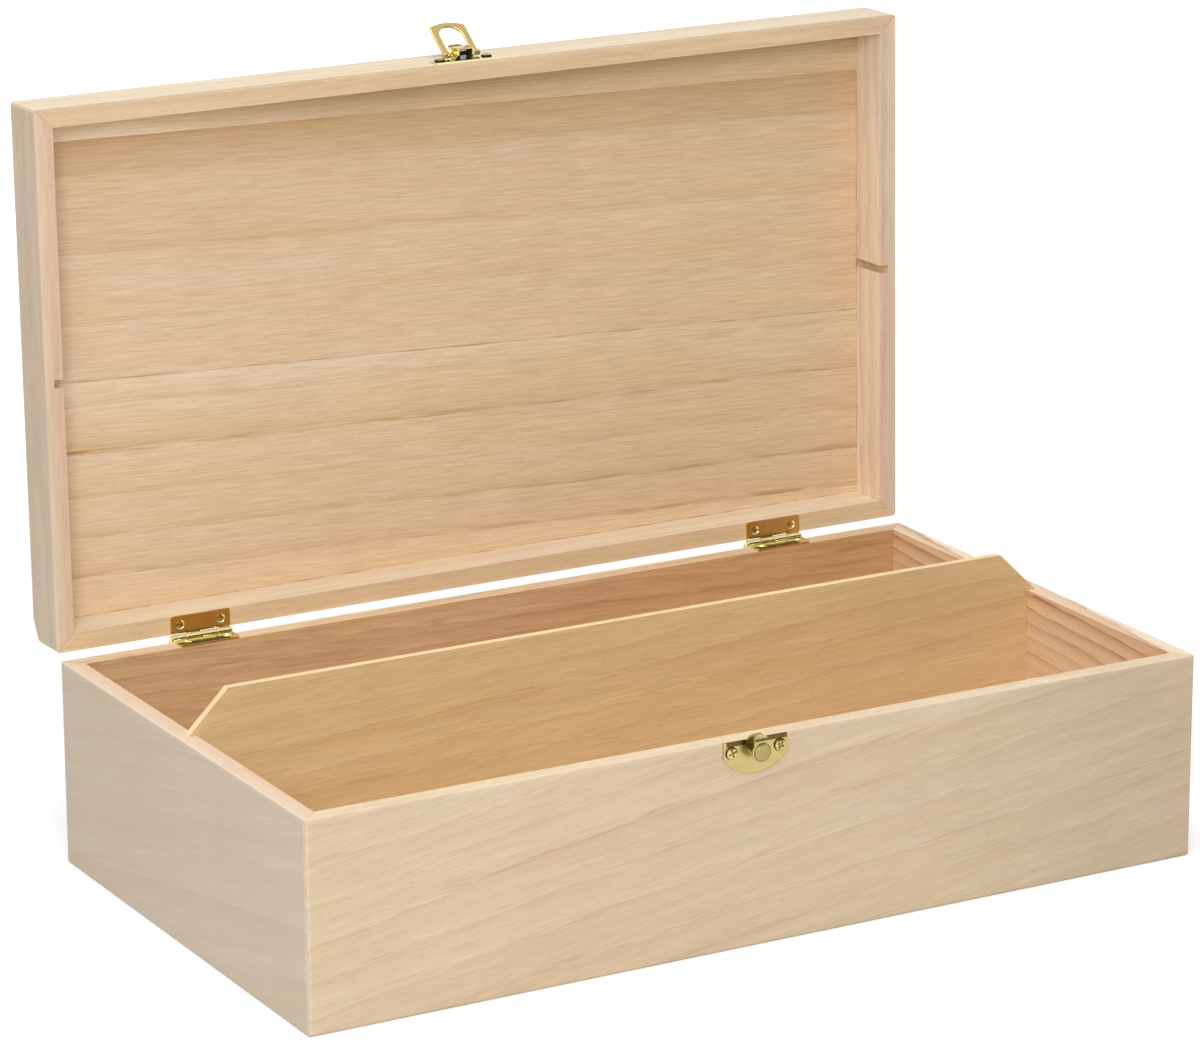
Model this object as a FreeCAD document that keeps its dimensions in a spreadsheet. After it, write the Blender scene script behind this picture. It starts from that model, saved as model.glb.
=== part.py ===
import FreeCAD, Part
import os
import re
import Sketcher
from FreeCAD import Placement, Rotation, Vector

# A low box of pale unfinished wood: a mitred tray with a lift-out divider, and a mitred lid that
# stands open on two stop hinges and shuts with a toggle clasp of pressed brass.
#
# Millimetres, +X to the right, +Y to the back, +Z up. The origin is the centre of the tray's
# underside. The lid stands open, resting on the stops of its hinges.

doc = FreeCAD.newDocument("divided_box")

# --- Sizes ------------------------------------------------------------------------------------------

SIZES = [
    # the wooden box
    ("box_length", 360.0, "outside length, left to right"),
    ("box_width", 200.0, "outside width, front to back"),
    ("tray_height", 77.0, "underside to rim"),
    ("lid_height", 21.3, "rim to outside of the lid panel"),
    ("wall", 7.0, "thickness of walls and rails"),
    ("corner_round", 1.4, "radius of the upright outside corners"),
    ("foot_round", 1.2, "radius of the tray's lower outside edges"),
    ("crown_round", 0.6, "radius of the lid's upper outside edges"),
    ("floor_thickness", 4.0, "tray floor"),
    ("panel_thickness", 4.1, "lid panel"),
    ("rebate", 3.5, "how far floor and panel reach under the walls"),
    ("slope_run", 9.0, "planed slope on the lid's rear edge, across the panel"),
    ("slope_drop", 5.0, "the same slope, down the rear rail"),
    # the boards glued up into the lid panel: widths from the outside edges
    ("front_board_left", 15.6, "front board, at its left end"),
    ("front_board_right", 23.7, "front board, at its right end"),
    ("rear_board_left", 96.0, "rear board, at its left end"),
    ("rear_board_right", 81.2, "rear board, at its right end"),
    # the divider and its grooves
    ("groove_depth", 3.5, "groove in the end walls"),
    ("divider_thickness", 3.0, "divider board"),
    ("divider_side_play", 0.1, "free space on each side of the divider in its groove"),
    ("divider_end_play", 0.2, "free space between the divider's end and the groove"),
    ("divider_rise", 15.5, "how far the divider stands above the tray's rim"),
    ("shoulder_run", 15.8, "cut-off corner, along the divider"),
    # hinges
    ("hinge_length", 24.0, "length along the barrel"),
    ("hinge_inset", 45.0, "end of the box to the near end of a hinge"),
    ("leaf_thickness", 0.8, "brass sheet of the leaves"),
    ("leaf_gap", 0.1, "space between the shut leaves"),
    ("leaf_corner", 1.0, "rounded free corners of the leaves"),
    ("barrel_radius", 1.5, "outside of the knuckles"),
    ("barrel_clear", 0.05, "space between the barrel and the tray's rear face"),
    ("knuckle_gap", 0.3, "space between neighbouring knuckles"),
    ("hinge_pin_radius", 0.65, "hinge pin"),
    ("running_play", 0.05, "radial play of every pin in its hole"),
    ("pin_head_radius", 1.1, "peened ends of the hinge pins"),
    ("pin_head", 0.3, "thickness of those peened ends"),
    ("stop_reach", 3.4, "axis to the tips of the stop flanges"),
    ("stop_gap", 0.03, "half the space between the stops when the lid stands open"),
    ("open_angle", 91.2, "how far the lid opens"),
    ("leaf_screw_inset", 3.85, "leaf's end to its screw"),
    ("leaf_screw_edge", 3.5, "the box's rear face to the hinge screws"),
    # screws
    ("screw_core", 0.8, "radius of the screw's shank"),
    ("screw_play", 0.05, "space round the shank in wood and brass"),
    ("screw_point", 1.6, "length of the tapered point"),
    ("leaf_screw_length", 8.0, "hinge screw under its head"),
    ("leaf_head_radius", 1.6, "countersink in the leaf's face"),
    ("leaf_head_sink", 0.2, "leaf's face down to the screw's flat head"),
    ("plate_screw_length", 5.5, "clasp screw under its head"),
    ("plate_head_radius", 1.8, "domed head"),
    ("plate_head_height", 0.9, "domed head"),
    ("plate_head_rim", 0.3, "upright rim of the domed head"),
    ("cross_width", 0.5, "arm of the cross recess"),
    ("cross_span", 2.0, "tip to tip of the cross recess"),
    ("cross_depth", 0.5, "depth of the cross recess"),
    # clasp: both plates
    ("clasp_shift", 6.5, "clasp's middle, left of the box's middle"),
    ("sheet_thickness", 0.8, "brass sheet of plates, hook and lever"),
    ("plate_width", 25.8, "plates, side to side"),
    ("plate_side", 6.0, "straight side of a plate"),
    ("plate_depth", 12.5, "rim to the belly of a plate"),
    ("plate_screw_inset", 3.15, "side of the plate to its screw"),
    ("plate_screw_drop", 3.9, "rim to the plate screws"),
    # clasp: the hooked knob on the tray
    ("hook_width", 6.2, "strap of the hook"),
    ("hook_rise", 2.3, "how far the hook curls up above the rim"),
    ("knob_stand", 5.4, "wall to the knob's face"),
    ("knob_radius", 3.8, "round knob"),
    ("knob_drop", 3.8, "rim to the knob's middle"),
    ("knob_edge", 0.3, "rounding of the knob's face"),
    ("neck_radius", 2.6, "turned-back lip behind the knob"),
    # clasp: ears, rivet and lever on the lid
    ("pivot_rise", 3.6, "lid's rim to the rivet"),
    ("pivot_stand", 3.0, "wall to the rivet"),
    ("rivet_radius", 0.65, "rivet's shank"),
    ("rivet_head_radius", 1.1, "rivet's heads"),
    ("rivet_head", 0.5, "thickness of those heads"),
    ("ear_radius", 1.05, "rounded top of the ears"),
    ("ear_play", 0.1, "space between an ear and the lever's cheek"),
    ("lever_width", 7.0, "lever, side to side"),
    ("lever_top", 5.0, "wall to the lever's back"),
    ("lever_nose", 2.1, "rivet to the lever's rim end"),
    ("nose_round", 0.6, "rounding of that end's corner"),
    ("cheek_reach", 3.2, "rivet to the far end of the cheeks"),
    ("tongue_reach", 7.4, "rivet to the tip of the finger tongue"),
    ("tongue_dip_run", 4.0, "length of the hollow in the tongue"),
    ("tongue_dip", 0.6, "depth of that hollow"),
    ("tongue_round", 2.4, "rounded corners of the tongue's tip"),
    # clasp: the loop and its pin
    ("loop_pin_reach", 2.0, "rivet to the loop's pin, away from the rim"),
    ("loop_pin_drop", 0.8, "rivet to the loop's pin, towards the wall"),
    ("loop_pin_radius", 0.6, "pin through the lever and the loop's eyes"),
    ("loop_pin_head_radius", 0.95, "that pin's heads"),
    ("loop_pin_head", 0.35, "thickness of those heads"),
    ("eye_radius", 1.1, "outside of the eyes at the feet of the loop"),
    ("loop_width", 14.6, "loop, side to side"),
    ("loop_leg", 2.6, "width of the loop's sides"),
    ("loop_thickness", 1.0, "stamped sheet of the loop"),
    ("loop_inside", 13.75, "pin to the inside of the arch"),
    ("loop_crown", 1.9, "width of the loop at the middle of its arch"),
    ("crown_rise", 1.7, "how much the loop's far edge bulges"),
    ("loop_corner", 1.0, "radius of the loop's far corners"),
    ("loop_edge", 0.25, "rounded stamped edges"),
    ("loop_lean", 37.5, "angle between the loop and the lid's front face as it stands"),
]

sheet = doc.addObject("Spreadsheet::Sheet", "Sizes")
for row, (alias, number, note) in enumerate(SIZES, start=1):
    sheet.set(f"A{row}", note)
    sheet.set(f"B{row}", str(number))
    sheet.setAlias(f"B{row}", alias)
doc.recompute()
ALIASES = {alias for alias, number, note in SIZES}

# Places that several pieces share, as expressions of the sizes above.
HALF_LENGTH = "(box_length / 2)"
HALF_WIDTH = "(box_width / 2)"
INNER_LENGTH = "(box_length / 2 - wall)"
RIM_GAP = "(2 * leaf_thickness + leaf_gap)"
AXIS_Y = "(box_width / 2 + barrel_clear + barrel_radius)"
AXIS_Z = f"(tray_height + {RIM_GAP} / 2)"
GROOVE_HALF = "(divider_thickness / 2 + divider_side_play)"
HINGE_X = "(box_length / 2 - hinge_inset - hinge_length / 2)"
LEAF_SCREW_X = "(hinge_length / 2 - leaf_screw_inset)"
LEAF_SCREW_Y = "(box_width / 2 - leaf_screw_edge)"
PLATE_SCREW_X = "(plate_width / 2 - plate_screw_inset)"
SCREW_HOLE = "(screw_core + screw_play)"
LEVER_INSIDE = "(lever_width / 2 - sheet_thickness)"
LOOP_PIN_RISE = "(pivot_rise + loop_pin_reach)"
LOOP_PIN_STAND = "(pivot_stand - loop_pin_drop)"


# --- Ways to draw -----------------------------------------------------------------------------------


def bound(text):
    """Points each size named in an expression at its cell in the sheet."""
    return re.sub(r"[a-z_]+", lambda word: f"Sizes.{word[0]}" if word[0] in ALIASES else word[0], text)


def value(text):
    """Works out an expression with the sheet's present numbers."""
    return float(sheet.evalExpression(bound(text)))


def new_body(name):
    body = doc.addObject("PartDesign::Body", name)
    body.Label = name
    return body


def sketch_on(body, plane, name, offset="0"):
    """A sketch on one of the body's own planes, moved along that plane's normal."""
    sketch = body.newObject("Sketcher::SketchObject", f"{body.Name}_{name}")
    support = next(part for part in body.Origin.OriginFeatures if part.Role == f"{plane}_Plane")
    sketch.AttachmentSupport = [(support, "")]
    sketch.MapMode = "FlatFace"
    sketch.setExpression(".AttachmentOffset.Base.z", bound(offset))
    return sketch


def fix_point(sketch, geometry, spot, x, y):
    """Ties one point of a sketch to its coordinates, None for a coordinate left to the rest."""
    for kind, text in (("DistanceX", x), ("DistanceY", y)):
        if text is not None:
            constraint = Sketcher.Constraint(kind, -1, 1, geometry, spot, value(text))
            number = sketch.addConstraint(constraint)
            sketch.setExpression(f"Constraints[{number}]", bound(text))


def straight(x, y):
    return {"end": (x, y)}


def curve(x, y, turn, cx=None, cy=None):
    """An arc to (x, y), turning "left" or "right", with one coordinate of its centre."""
    return {"end": (x, y), "turn": turn, "centre": (cx, cy)}


def arc_between(start, end, step):
    """The circular arc through both ends whose centre has the coordinate that the step gives."""
    middle = (start + end) / 2
    across = Vector(start.y - end.y, end.x - start.x, 0)
    cx, cy = step["centre"]
    share = (value(cy) - middle.y) / across.y if cx is None else (value(cx) - middle.x) / across.x
    centre = middle + across * share
    angles = [(point - centre).getAngle(Vector(1, 0, 0)) for point in (start, end)]
    angles = [angle if point.y >= centre.y else -angle for angle, point in zip(angles, (start, end))]
    if step["turn"] == "right":
        angles.reverse()
    circle = Part.Circle(centre, Vector(0, 0, 1), (start - centre).Length)
    return Part.ArcOfCircle(circle, *angles)


def outline(sketch, start, *steps):
    """A closed outline from start through the steps, and straight back to start."""
    if steps[-1]["end"] != start:
        steps = [*steps, straight(*start)]
    points = [Vector(value(x), value(y), 0) for x, y in [start, *[step["end"] for step in steps]]]
    spots = []
    for step, begin, end in zip(steps, points, points[1:]):
        if "turn" in step:
            index = sketch.addGeometry(arc_between(begin, end, step), False)
            fix_point(sketch, index, 3, *step["centre"])
        else:
            index = sketch.addGeometry(Part.LineSegment(begin, end), False)
        spots.append((index, 2, 1) if step.get("turn") == "right" else (index, 1, 2))
    for number, step in enumerate(steps):
        index, _, tail = spots[number]
        follower, head, _ = spots[(number + 1) % len(spots)]
        sketch.addConstraint(Sketcher.Constraint("Coincident", index, tail, follower, head))
        fix_point(sketch, index, tail, *step["end"])
    return sketch


def rectangle(sketch, x_low, x_high, y_low, y_high):
    return outline(
        sketch, (x_low, y_low), straight(x_high, y_low), straight(x_high, y_high), straight(x_low, y_high)
    )


def circle(sketch, x, y, radius):
    shape = Part.Circle(Vector(value(x), value(y), 0), Vector(0, 0, 1), value(radius))
    index = sketch.addGeometry(shape, False)
    fix_point(sketch, index, 3, x, y)
    number = sketch.addConstraint(Sketcher.Constraint("Radius", index, value(radius)))
    sketch.setExpression(f"Constraints[{number}]", bound(radius))
    return sketch


def feature(body, kind, sketch, length=None, both=False, backwards=False):
    """A Pad or Pocket of the sketch; no length on a Pocket means through everything."""
    made = body.newObject(f"PartDesign::{kind}", f"{sketch.Name}_{kind}")
    made.Profile = sketch
    made.SideType = "Symmetric" if both else "One side"
    made.Reversed = backwards
    if length is None:
        made.Type = "ThroughAll"
    else:
        made.setExpression("Length", bound(length))
    return made


def pad(body, sketch, length, both=False, backwards=False):
    return feature(body, "Pad", sketch, length, both, backwards)


def pocket(body, sketch, length=None, both=False, backwards=False):
    return feature(body, "Pocket", sketch, length, both, backwards)


def revolve(body, sketch, axis):
    """A full turn of the sketch about its own horizontal (H_Axis) or vertical (V_Axis) line."""
    made = body.newObject("PartDesign::Revolution", f"{sketch.Name}_turn")
    made.Profile = sketch
    made.ReferenceAxis = (sketch, [axis])
    made.Angle = 360
    return made


def mirrored(body, features, plane):
    made = body.newObject("PartDesign::Mirrored", f"{body.Name}_mirrored")
    made.Originals = features
    made.MirrorPlane = (next(p for p in body.Origin.OriginFeatures if p.Role == f"{plane}_Plane"), [""])
    body.Tip = made
    return made


def round_edges(body, wanted, radius, steady_x=False):
    """A Fillet on the edges whose ends all pass the test; steady_x leaves out edges that cross in X."""
    doc.recompute()
    base = body.Tip
    names = []
    for number, edge in enumerate(base.Shape.Edges, start=1):
        ends = [vertex.Point for vertex in edge.Vertexes]
        if all(wanted(end) for end in ends) and not (steady_x and not near(ends[0].x, ends[-1].x)):
            names.append(f"Edge{number}")
    made = body.newObject("PartDesign::Fillet", f"{base.Name}_round")
    made.Base = (base, names)
    made.setExpression("Radius", bound(radius))
    return made


def near(first, second):
    return abs(first - second) < 1e-4


# --- Where the lid and the clasp lie ------------------------------------------------------------------

# Lid pieces are drawn shut, with the origin at the middle of the lid's rim and +Z out of the lid.
# Then the whole lid turns back about the hinge axis.
HINGE_LINE = Vector(0, value(AXIS_Y), value(AXIS_Z))
SHUT_LID = Placement(Vector(0, 0, value(f"tray_height + {RIM_GAP}")), Rotation())
OPEN_TURN = Placement(Vector(), Rotation(Vector(1, 0, 0), -value("open_angle")), HINGE_LINE)
OPEN_LID = OPEN_TURN * SHUT_LID

# Clasp pieces are drawn with X along the box, Y up the wall from the rim and Z out of the wall.
ON_FRONT_WALL = Placement(
    Vector(-value("clasp_shift"), -value(HALF_WIDTH), 0), Rotation(Vector(1, 0, 0), 90)
)
ON_TRAY_FRONT = Placement(Vector(0, 0, value("tray_height")), Rotation()) * ON_FRONT_WALL
ON_LID_FRONT = OPEN_LID * ON_FRONT_WALL

# --- Wooden walls -------------------------------------------------------------------------------------


def long_wall_plan(sketch, front):
    """Front or rear wall from above: mitred ends, and half of each rounded corner."""
    side = "-" if front else ""
    face = f"{side}{HALF_WIDTH}"
    inside = f"{side}({HALF_WIDTH} - wall)"
    half_way = "corner_round * (1 - sqrt(0.5))"
    miter_x = f"({HALF_LENGTH} - {half_way})"
    miter_y = f"{side}({HALF_WIDTH} - {half_way})"
    straight_x = f"({HALF_LENGTH} - corner_round)"
    turn, back = ("left", "left") if front else ("right", "right")
    return outline(
        sketch,
        (f"-{straight_x}", face),
        straight(straight_x, face),
        curve(miter_x, miter_y, turn, cx=straight_x),
        straight(INNER_LENGTH, inside),
        straight(f"-{INNER_LENGTH}", inside),
        straight(f"-{miter_x}", miter_y),
        curve(f"-{straight_x}", face, back, cx=f"-{straight_x}"),
    )


def end_wall_plan(sketch, left):
    """Left or right wall from above, mitred to the long walls."""
    side = "-" if left else ""
    face = f"{side}{HALF_LENGTH}"
    inside = f"{side}{INNER_LENGTH}"
    half_way = "corner_round * (1 - sqrt(0.5))"
    miter_x = f"{side}({HALF_LENGTH} - {half_way})"
    miter_y = f"({HALF_WIDTH} - {half_way})"
    straight_y = f"({HALF_WIDTH} - corner_round)"
    inner_y = f"({HALF_WIDTH} - wall)"
    turn = "right" if left else "left"
    return outline(
        sketch,
        (face, f"-{straight_y}"),
        straight(face, straight_y),
        curve(miter_x, miter_y, turn, cy=straight_y),
        straight(inside, inner_y),
        straight(inside, f"-{inner_y}"),
        straight(miter_x, f"-{miter_y}"),
        curve(face, f"-{straight_y}", turn, cy=f"-{straight_y}"),
    )


def cut_rebate(body, level, upwards):
    """The step round the inside that the floor or the lid panel is glued into."""
    sketch = sketch_on(body, "XY", "rebate", level)
    x = f"({INNER_LENGTH} + rebate)"
    y = f"({HALF_WIDTH} - wall + rebate)"
    rectangle(sketch, f"-{x}", x, f"-{y}", y)
    pocket(body, sketch, backwards=upwards)


def cut_groove(body, level, upwards, left):
    """The divider's groove in an end wall."""
    side = "-" if left else ""
    inner = f"{side}({INNER_LENGTH} - groove_depth)"
    outer = f"{side}({INNER_LENGTH} + groove_depth)"
    sketch = sketch_on(body, "XY", "groove", level)
    rectangle(sketch, *sorted((inner, outer), key=value), f"-{GROOVE_HALF}", GROOVE_HALF)
    pocket(body, sketch, backwards=upwards)


def cut_pilot_holes(body, plane, name, offset, spots, depth, backwards):
    """Blind holes for screws, from a plane into the wood."""
    sketch = sketch_on(body, plane, name, offset)
    for x, y in spots:
        circle(sketch, x, y, SCREW_HOLE)
    pocket(body, sketch, depth, backwards=backwards)


def round_outside(body, level, radius):
    """Eases the outside edges at one height: the long face and the corners, not the miters."""
    height = value(level)
    beyond_x = value(f"{INNER_LENGTH} + rebate") + 1e-3
    beyond_y = value(f"{HALF_WIDTH} - wall + rebate") + 1e-3

    def outside(point):
        return near(point.z, height) and (abs(point.x) > beyond_x or abs(point.y) > beyond_y)

    round_edges(body, outside, radius)


HINGE_SCREWS = [
    (f"{side}{HINGE_X} {way} {LEAF_SCREW_X}", LEAF_SCREW_Y) for side in ("-", "") for way in "-+"
]
WALL_PLANS = {
    "front": (long_wall_plan, True),
    "rear": (long_wall_plan, False),
    "left": (end_wall_plan, True),
    "right": (end_wall_plan, False),
}


def front_screws(rise):
    """The clasp's screws on a front wall, at a height in that wall."""
    return [(f"-clasp_shift {way} {PLATE_SCREW_X}", rise) for way in "-+"]


def tray_wall(side):
    """One mitred tray wall, rebated for the floor and eased along its lower outside edge."""
    body = new_body(f"tray_{side}_wall")
    plan, first = WALL_PLANS[side]
    pad(body, plan(sketch_on(body, "XY", "plan"), first), "tray_height")
    cut_rebate(body, "floor_thickness", upwards=False)
    round_outside(body, "0", "foot_round")
    if side in ("left", "right"):
        cut_groove(body, "floor_thickness", True, first)
    if side == "rear":
        depth = "leaf_screw_length + screw_play"
        cut_pilot_holes(body, "XY", "hinge_holes", "tray_height", HINGE_SCREWS, depth, False)
    if side == "front":
        spots = front_screws("tray_height - plate_screw_drop")
        depth = "plate_screw_length + screw_play"
        cut_pilot_holes(body, "XZ", "catch_holes", HALF_WIDTH, spots, depth, False)


def plane_slope(body):
    """The long slope planed along the lid's rear edge, over the rails and the rear board."""
    sketch = sketch_on(body, "YZ", "slope")
    outline(
        sketch,
        (f"{HALF_WIDTH} - slope_run", "lid_height"),
        straight(HALF_WIDTH, "lid_height - slope_drop"),
        straight(HALF_WIDTH, "lid_height"),
    )
    pocket(body, sketch, both=True)


def lid_rail(side):
    """One mitred lid rail, rebated for the panel; the box is sawn open, so its rim stays sharp."""
    body = new_body(f"lid_{side}_rail")
    plan, first = WALL_PLANS[side]
    pad(body, plan(sketch_on(body, "XY", "plan"), first), "lid_height")
    cut_rebate(body, "lid_height - panel_thickness", upwards=True)
    round_outside(body, "lid_height", "crown_round")
    if side in ("left", "right"):
        cut_groove(body, "lid_height - panel_thickness", False, first)
    if side != "front":
        plane_slope(body)
    if side == "rear":
        depth = "leaf_screw_length + screw_play"
        cut_pilot_holes(body, "XY", "hinge_holes", "0", HINGE_SCREWS, depth, True)
    if side == "front":
        depth = "plate_screw_length + screw_play"
        spots = front_screws("plate_screw_drop")
        cut_pilot_holes(body, "XZ", "clasp_holes", HALF_WIDTH, spots, depth, False)
    body.Placement = OPEN_LID


for side in WALL_PLANS:
    tray_wall(side)
    lid_rail(side)

# --- Floor, lid panel and divider ---------------------------------------------------------------------

PANEL_X = f"({INNER_LENGTH} + rebate)"
PANEL_Y = f"({HALF_WIDTH} - wall + rebate)"

tray_floor = new_body("tray_floor")
floor_plan = rectangle(sketch_on(tray_floor, "XY", "plan"), f"-{PANEL_X}", PANEL_X, f"-{PANEL_Y}", PANEL_Y)
pad(tray_floor, floor_plan, "floor_thickness")


def lid_board(name, front_left, front_right, rear_left, rear_right):
    """One board of the lid panel, its two long edges given by the heights of their ends."""
    body = new_body(name)
    sketch = sketch_on(body, "XY", "plan", "lid_height - panel_thickness")
    outline(
        sketch,
        (f"-{PANEL_X}", front_left),
        straight(PANEL_X, front_right),
        straight(PANEL_X, rear_right),
        straight(f"-{PANEL_X}", rear_left),
    )
    pad(body, sketch, "panel_thickness")
    body.Placement = OPEN_LID
    return body


# The saw never runs quite true to the frame, so the two glue lines slant a little.
FRONT_SEAM = (f"front_board_left - {HALF_WIDTH}", f"front_board_right - {HALF_WIDTH}")
REAR_SEAM = (f"{HALF_WIDTH} - rear_board_left", f"{HALF_WIDTH} - rear_board_right")
lid_board("lid_front_board", f"-{PANEL_Y}", f"-{PANEL_Y}", *FRONT_SEAM)
lid_board("lid_middle_board", *FRONT_SEAM, *REAR_SEAM)
plane_slope(lid_board("lid_rear_board", *REAR_SEAM, PANEL_Y, PANEL_Y))

divider = new_body("divider")
DIVIDER_X = f"({INNER_LENGTH} + groove_depth - divider_end_play)"
DIVIDER_TOP = "tray_height + divider_rise"
divider_side = outline(
    sketch_on(divider, "XZ", "side"),
    (f"-{DIVIDER_X}", "floor_thickness"),
    straight(DIVIDER_X, "floor_thickness"),
    straight(DIVIDER_X, "tray_height"),
    straight(f"{DIVIDER_X} - shoulder_run", DIVIDER_TOP),
    straight(f"shoulder_run - {DIVIDER_X}", DIVIDER_TOP),
    straight(f"-{DIVIDER_X}", "tray_height"),
)
pad(divider, divider_side, "divider_thickness", both=True)

# --- Screws and pins ------------------------------------------------------------------------------------


def screw_pair(name, place, x, y, face, outwards, profile):
    """Two screws at +x and -x: a turned profile of (radius, height) steps and a cross recess.

    The head's face is at z = face, and outwards is "" where it looks along +Z, "-" along -Z.
    """
    body = new_body(name)
    section = sketch_on(body, "XZ", "section", f"-({y})")
    section.setExpression(".AttachmentOffset.Base.x", bound(x))
    section.setExpression(".AttachmentOffset.Base.y", bound(face))
    turned = revolve(body, outline(section, *profile(outwards)), "V_Axis")
    head_top = profile(outwards)[0][1]
    recess = sketch_on(body, "XY", "cross", f"{face} + ({head_top})")
    arm, tip = "cross_width / 2", "cross_span / 2"
    quarter = [(tip, arm), (arm, arm), (arm, tip)]
    corners = []
    for left, low in (("", ""), ("-", ""), ("-", "-"), ("", "-")):
        turned_quarter = quarter if left == low else quarter[::-1]
        corners += [(f"({x}) + ({left}{a})", f"({y}) + ({low}{b})") for a, b in turned_quarter]
    outline(recess, corners[0], *[straight(*corner) for corner in corners[1:]])
    cut = pocket(body, recess, "cross_depth", backwards=outwards == "-")
    mirrored(body, [turned, cut], "YZ")
    body.Placement = place


def countersunk(outwards):
    """Flat head a little below the leaf's face, its cone ending at the back of the leaf."""
    end = "(leaf_thickness + leaf_screw_length)"
    away = "" if outwards else "-"
    taper = "(leaf_head_radius - screw_core) / leaf_thickness"
    return [
        ("0", f"{away}leaf_head_sink"),
        straight(f"leaf_head_radius - leaf_head_sink * {taper}", f"{away}leaf_head_sink"),
        straight("screw_core", f"{away}leaf_thickness"),
        straight("screw_core", f"{away}({end} - screw_point)"),
        straight("0", f"{away}{end}"),
    ]


def domed(outwards):
    """Domed head with a short upright rim, sitting on the plate."""
    end = "(sheet_thickness + plate_screw_length)"
    return [
        ("0", "plate_head_height"),
        curve("plate_head_radius", "plate_head_rim", "right", cx="0"),
        straight("plate_head_radius", "0"),
        straight("screw_core", "0"),
        straight("screw_core", f"-({end} - screw_point)"),
        straight("0", f"-{end}"),
    ]


def headed_pin(name, place, half, radius, head_radius, head, rise="0", stand="0"):
    """A round pin along X with a head at each end, half being half the length between the heads."""
    body = new_body(name)
    section = sketch_on(body, "XZ", "section", f"-{rise}")
    section.setExpression(".AttachmentOffset.Base.y", bound(stand))
    outline(
        section,
        (f"-({half} + {head})", "0"),
        straight(f"{half} + {head}", "0"),
        straight(f"{half} + {head}", head_radius),
        straight(half, head_radius),
        straight(half, radius),
        straight(f"-({half})", radius),
        straight(f"-({half})", head_radius),
        straight(f"-({half} + {head})", head_radius),
    )
    revolve(body, section, "H_Axis")
    body.Placement = place


# --- Hinges ---------------------------------------------------------------------------------------------

# A hinge is drawn shut on its own axes: X along the pin, the leaves towards -Y, the tray's leaf
# below and the lid's leaf above. Four knuckles take turns: tray, lid, tray, lid.
KNUCKLE_PITCH = "(hinge_length / 4)"
LEAF_REACH = "(wall + barrel_clear + barrel_radius)"
LEAF_SCREW_BACK = "(leaf_screw_edge + barrel_clear + barrel_radius)"


def radial(along, across, angle):
    """A point given along and across a ray that leaves the axis at an angle."""
    return (
        f"({along}) * cos({angle}) - ({across}) * sin({angle})",
        f"({along}) * sin({angle}) + ({across}) * cos({angle})",
    )


def stop_outline(sketch, up, inner, outer):
    """Section of a stop flange or of its root: a strip along the ray where the stops meet."""
    angle = f"({up}open_angle / 2)"
    low = f"{up}stop_gap"
    high = f"{up}(stop_gap + leaf_thickness)"
    outline(
        sketch,
        radial(inner, low, angle),
        straight(*radial(outer, low, angle)),
        straight(*radial(outer, high, angle)),
        straight(*radial(inner, high, angle)),
    )
    return sketch


def hinge_leaf(name, place, on_lid):
    """A pressed leaf with two rolled knuckles, a stop flange behind them and two screw holes."""
    body = new_body(name)
    up = "" if on_lid else "-"
    level = f"{up}leaf_gap / 2"
    first = f"({KNUCKLE_PITCH} / 2 - hinge_length / 2 + {KNUCKLE_PITCH if on_lid else 0})"
    half = f"({KNUCKLE_PITCH} - knuckle_gap) / 2"
    clear = "(barrel_radius + knuckle_gap)"

    plate = sketch_on(body, "XY", "plate", level)
    rectangle(plate, "-hinge_length / 2", "hinge_length / 2", f"-{LEAF_REACH}", f"-{clear}")
    pad(body, plate, "leaf_thickness", backwards=not on_lid)
    free_end = -value(LEAF_REACH)
    round_edges(body, lambda point: near(point.y, free_end), "leaf_corner", steady_x=True)

    neck = sketch_on(body, "XY", "neck", level)
    rectangle(neck, f"{first} - {half}", f"{first} + {half}", f"-{clear} - leaf_thickness", "0")
    neck_pad = pad(body, neck, "leaf_thickness", backwards=not on_lid)

    knuckle = circle(sketch_on(body, "YZ", "knuckle", first), "0", "0", "barrel_radius")
    knuckle_pad = pad(body, knuckle, f"2 * {half}", both=True)
    root = sketch_on(body, "YZ", "root", first)
    stop_outline(root, up, "barrel_radius - leaf_thickness / 2", f"{clear} + leaf_thickness / 2")
    root_pad = pad(body, root, f"2 * {half}", both=True)

    row = body.newObject("PartDesign::LinearPattern", f"{name}_knuckles")
    row.Originals = [neck_pad, knuckle_pad, root_pad]
    row.Direction = (next(part for part in body.Origin.OriginFeatures if part.Role == "X_Axis"), [""])
    row.setExpression("Length", bound(f"2 * {KNUCKLE_PITCH}"))
    row.Occurrences = 2
    body.Tip = row

    flange = stop_outline(sketch_on(body, "YZ", "stop"), up, clear, "stop_reach")
    pad(body, flange, "hinge_length", both=True)
    bore = circle(sketch_on(body, "YZ", "bore"), "0", "0", "hinge_pin_radius + running_play")
    pocket(body, bore, both=True)

    doc.recompute()
    drilled = sketch_on(body, "XY", "screw_holes", level)
    for side in ("-", ""):
        circle(drilled, f"{side}{LEAF_SCREW_X}", f"-{LEAF_SCREW_BACK}", SCREW_HOLE)
    holes = body.newObject("PartDesign::Hole", f"{name}_holes")
    holes.Profile = drilled
    holes.DepthType = "ThroughAll"
    holes.HoleCutType = "Countersink"
    holes.HoleCutCustomValues = True
    holes.Reversed = on_lid
    holes.setExpression("Diameter", bound(f"2 * {SCREW_HOLE}"))
    holes.setExpression("HoleCutDiameter", bound("2 * (leaf_head_radius + screw_play)"))
    cone = "2 * atan((leaf_head_radius - screw_core) / leaf_thickness)"
    holes.setExpression("HoleCutCountersinkAngle", bound(cone))
    body.Placement = place


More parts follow.
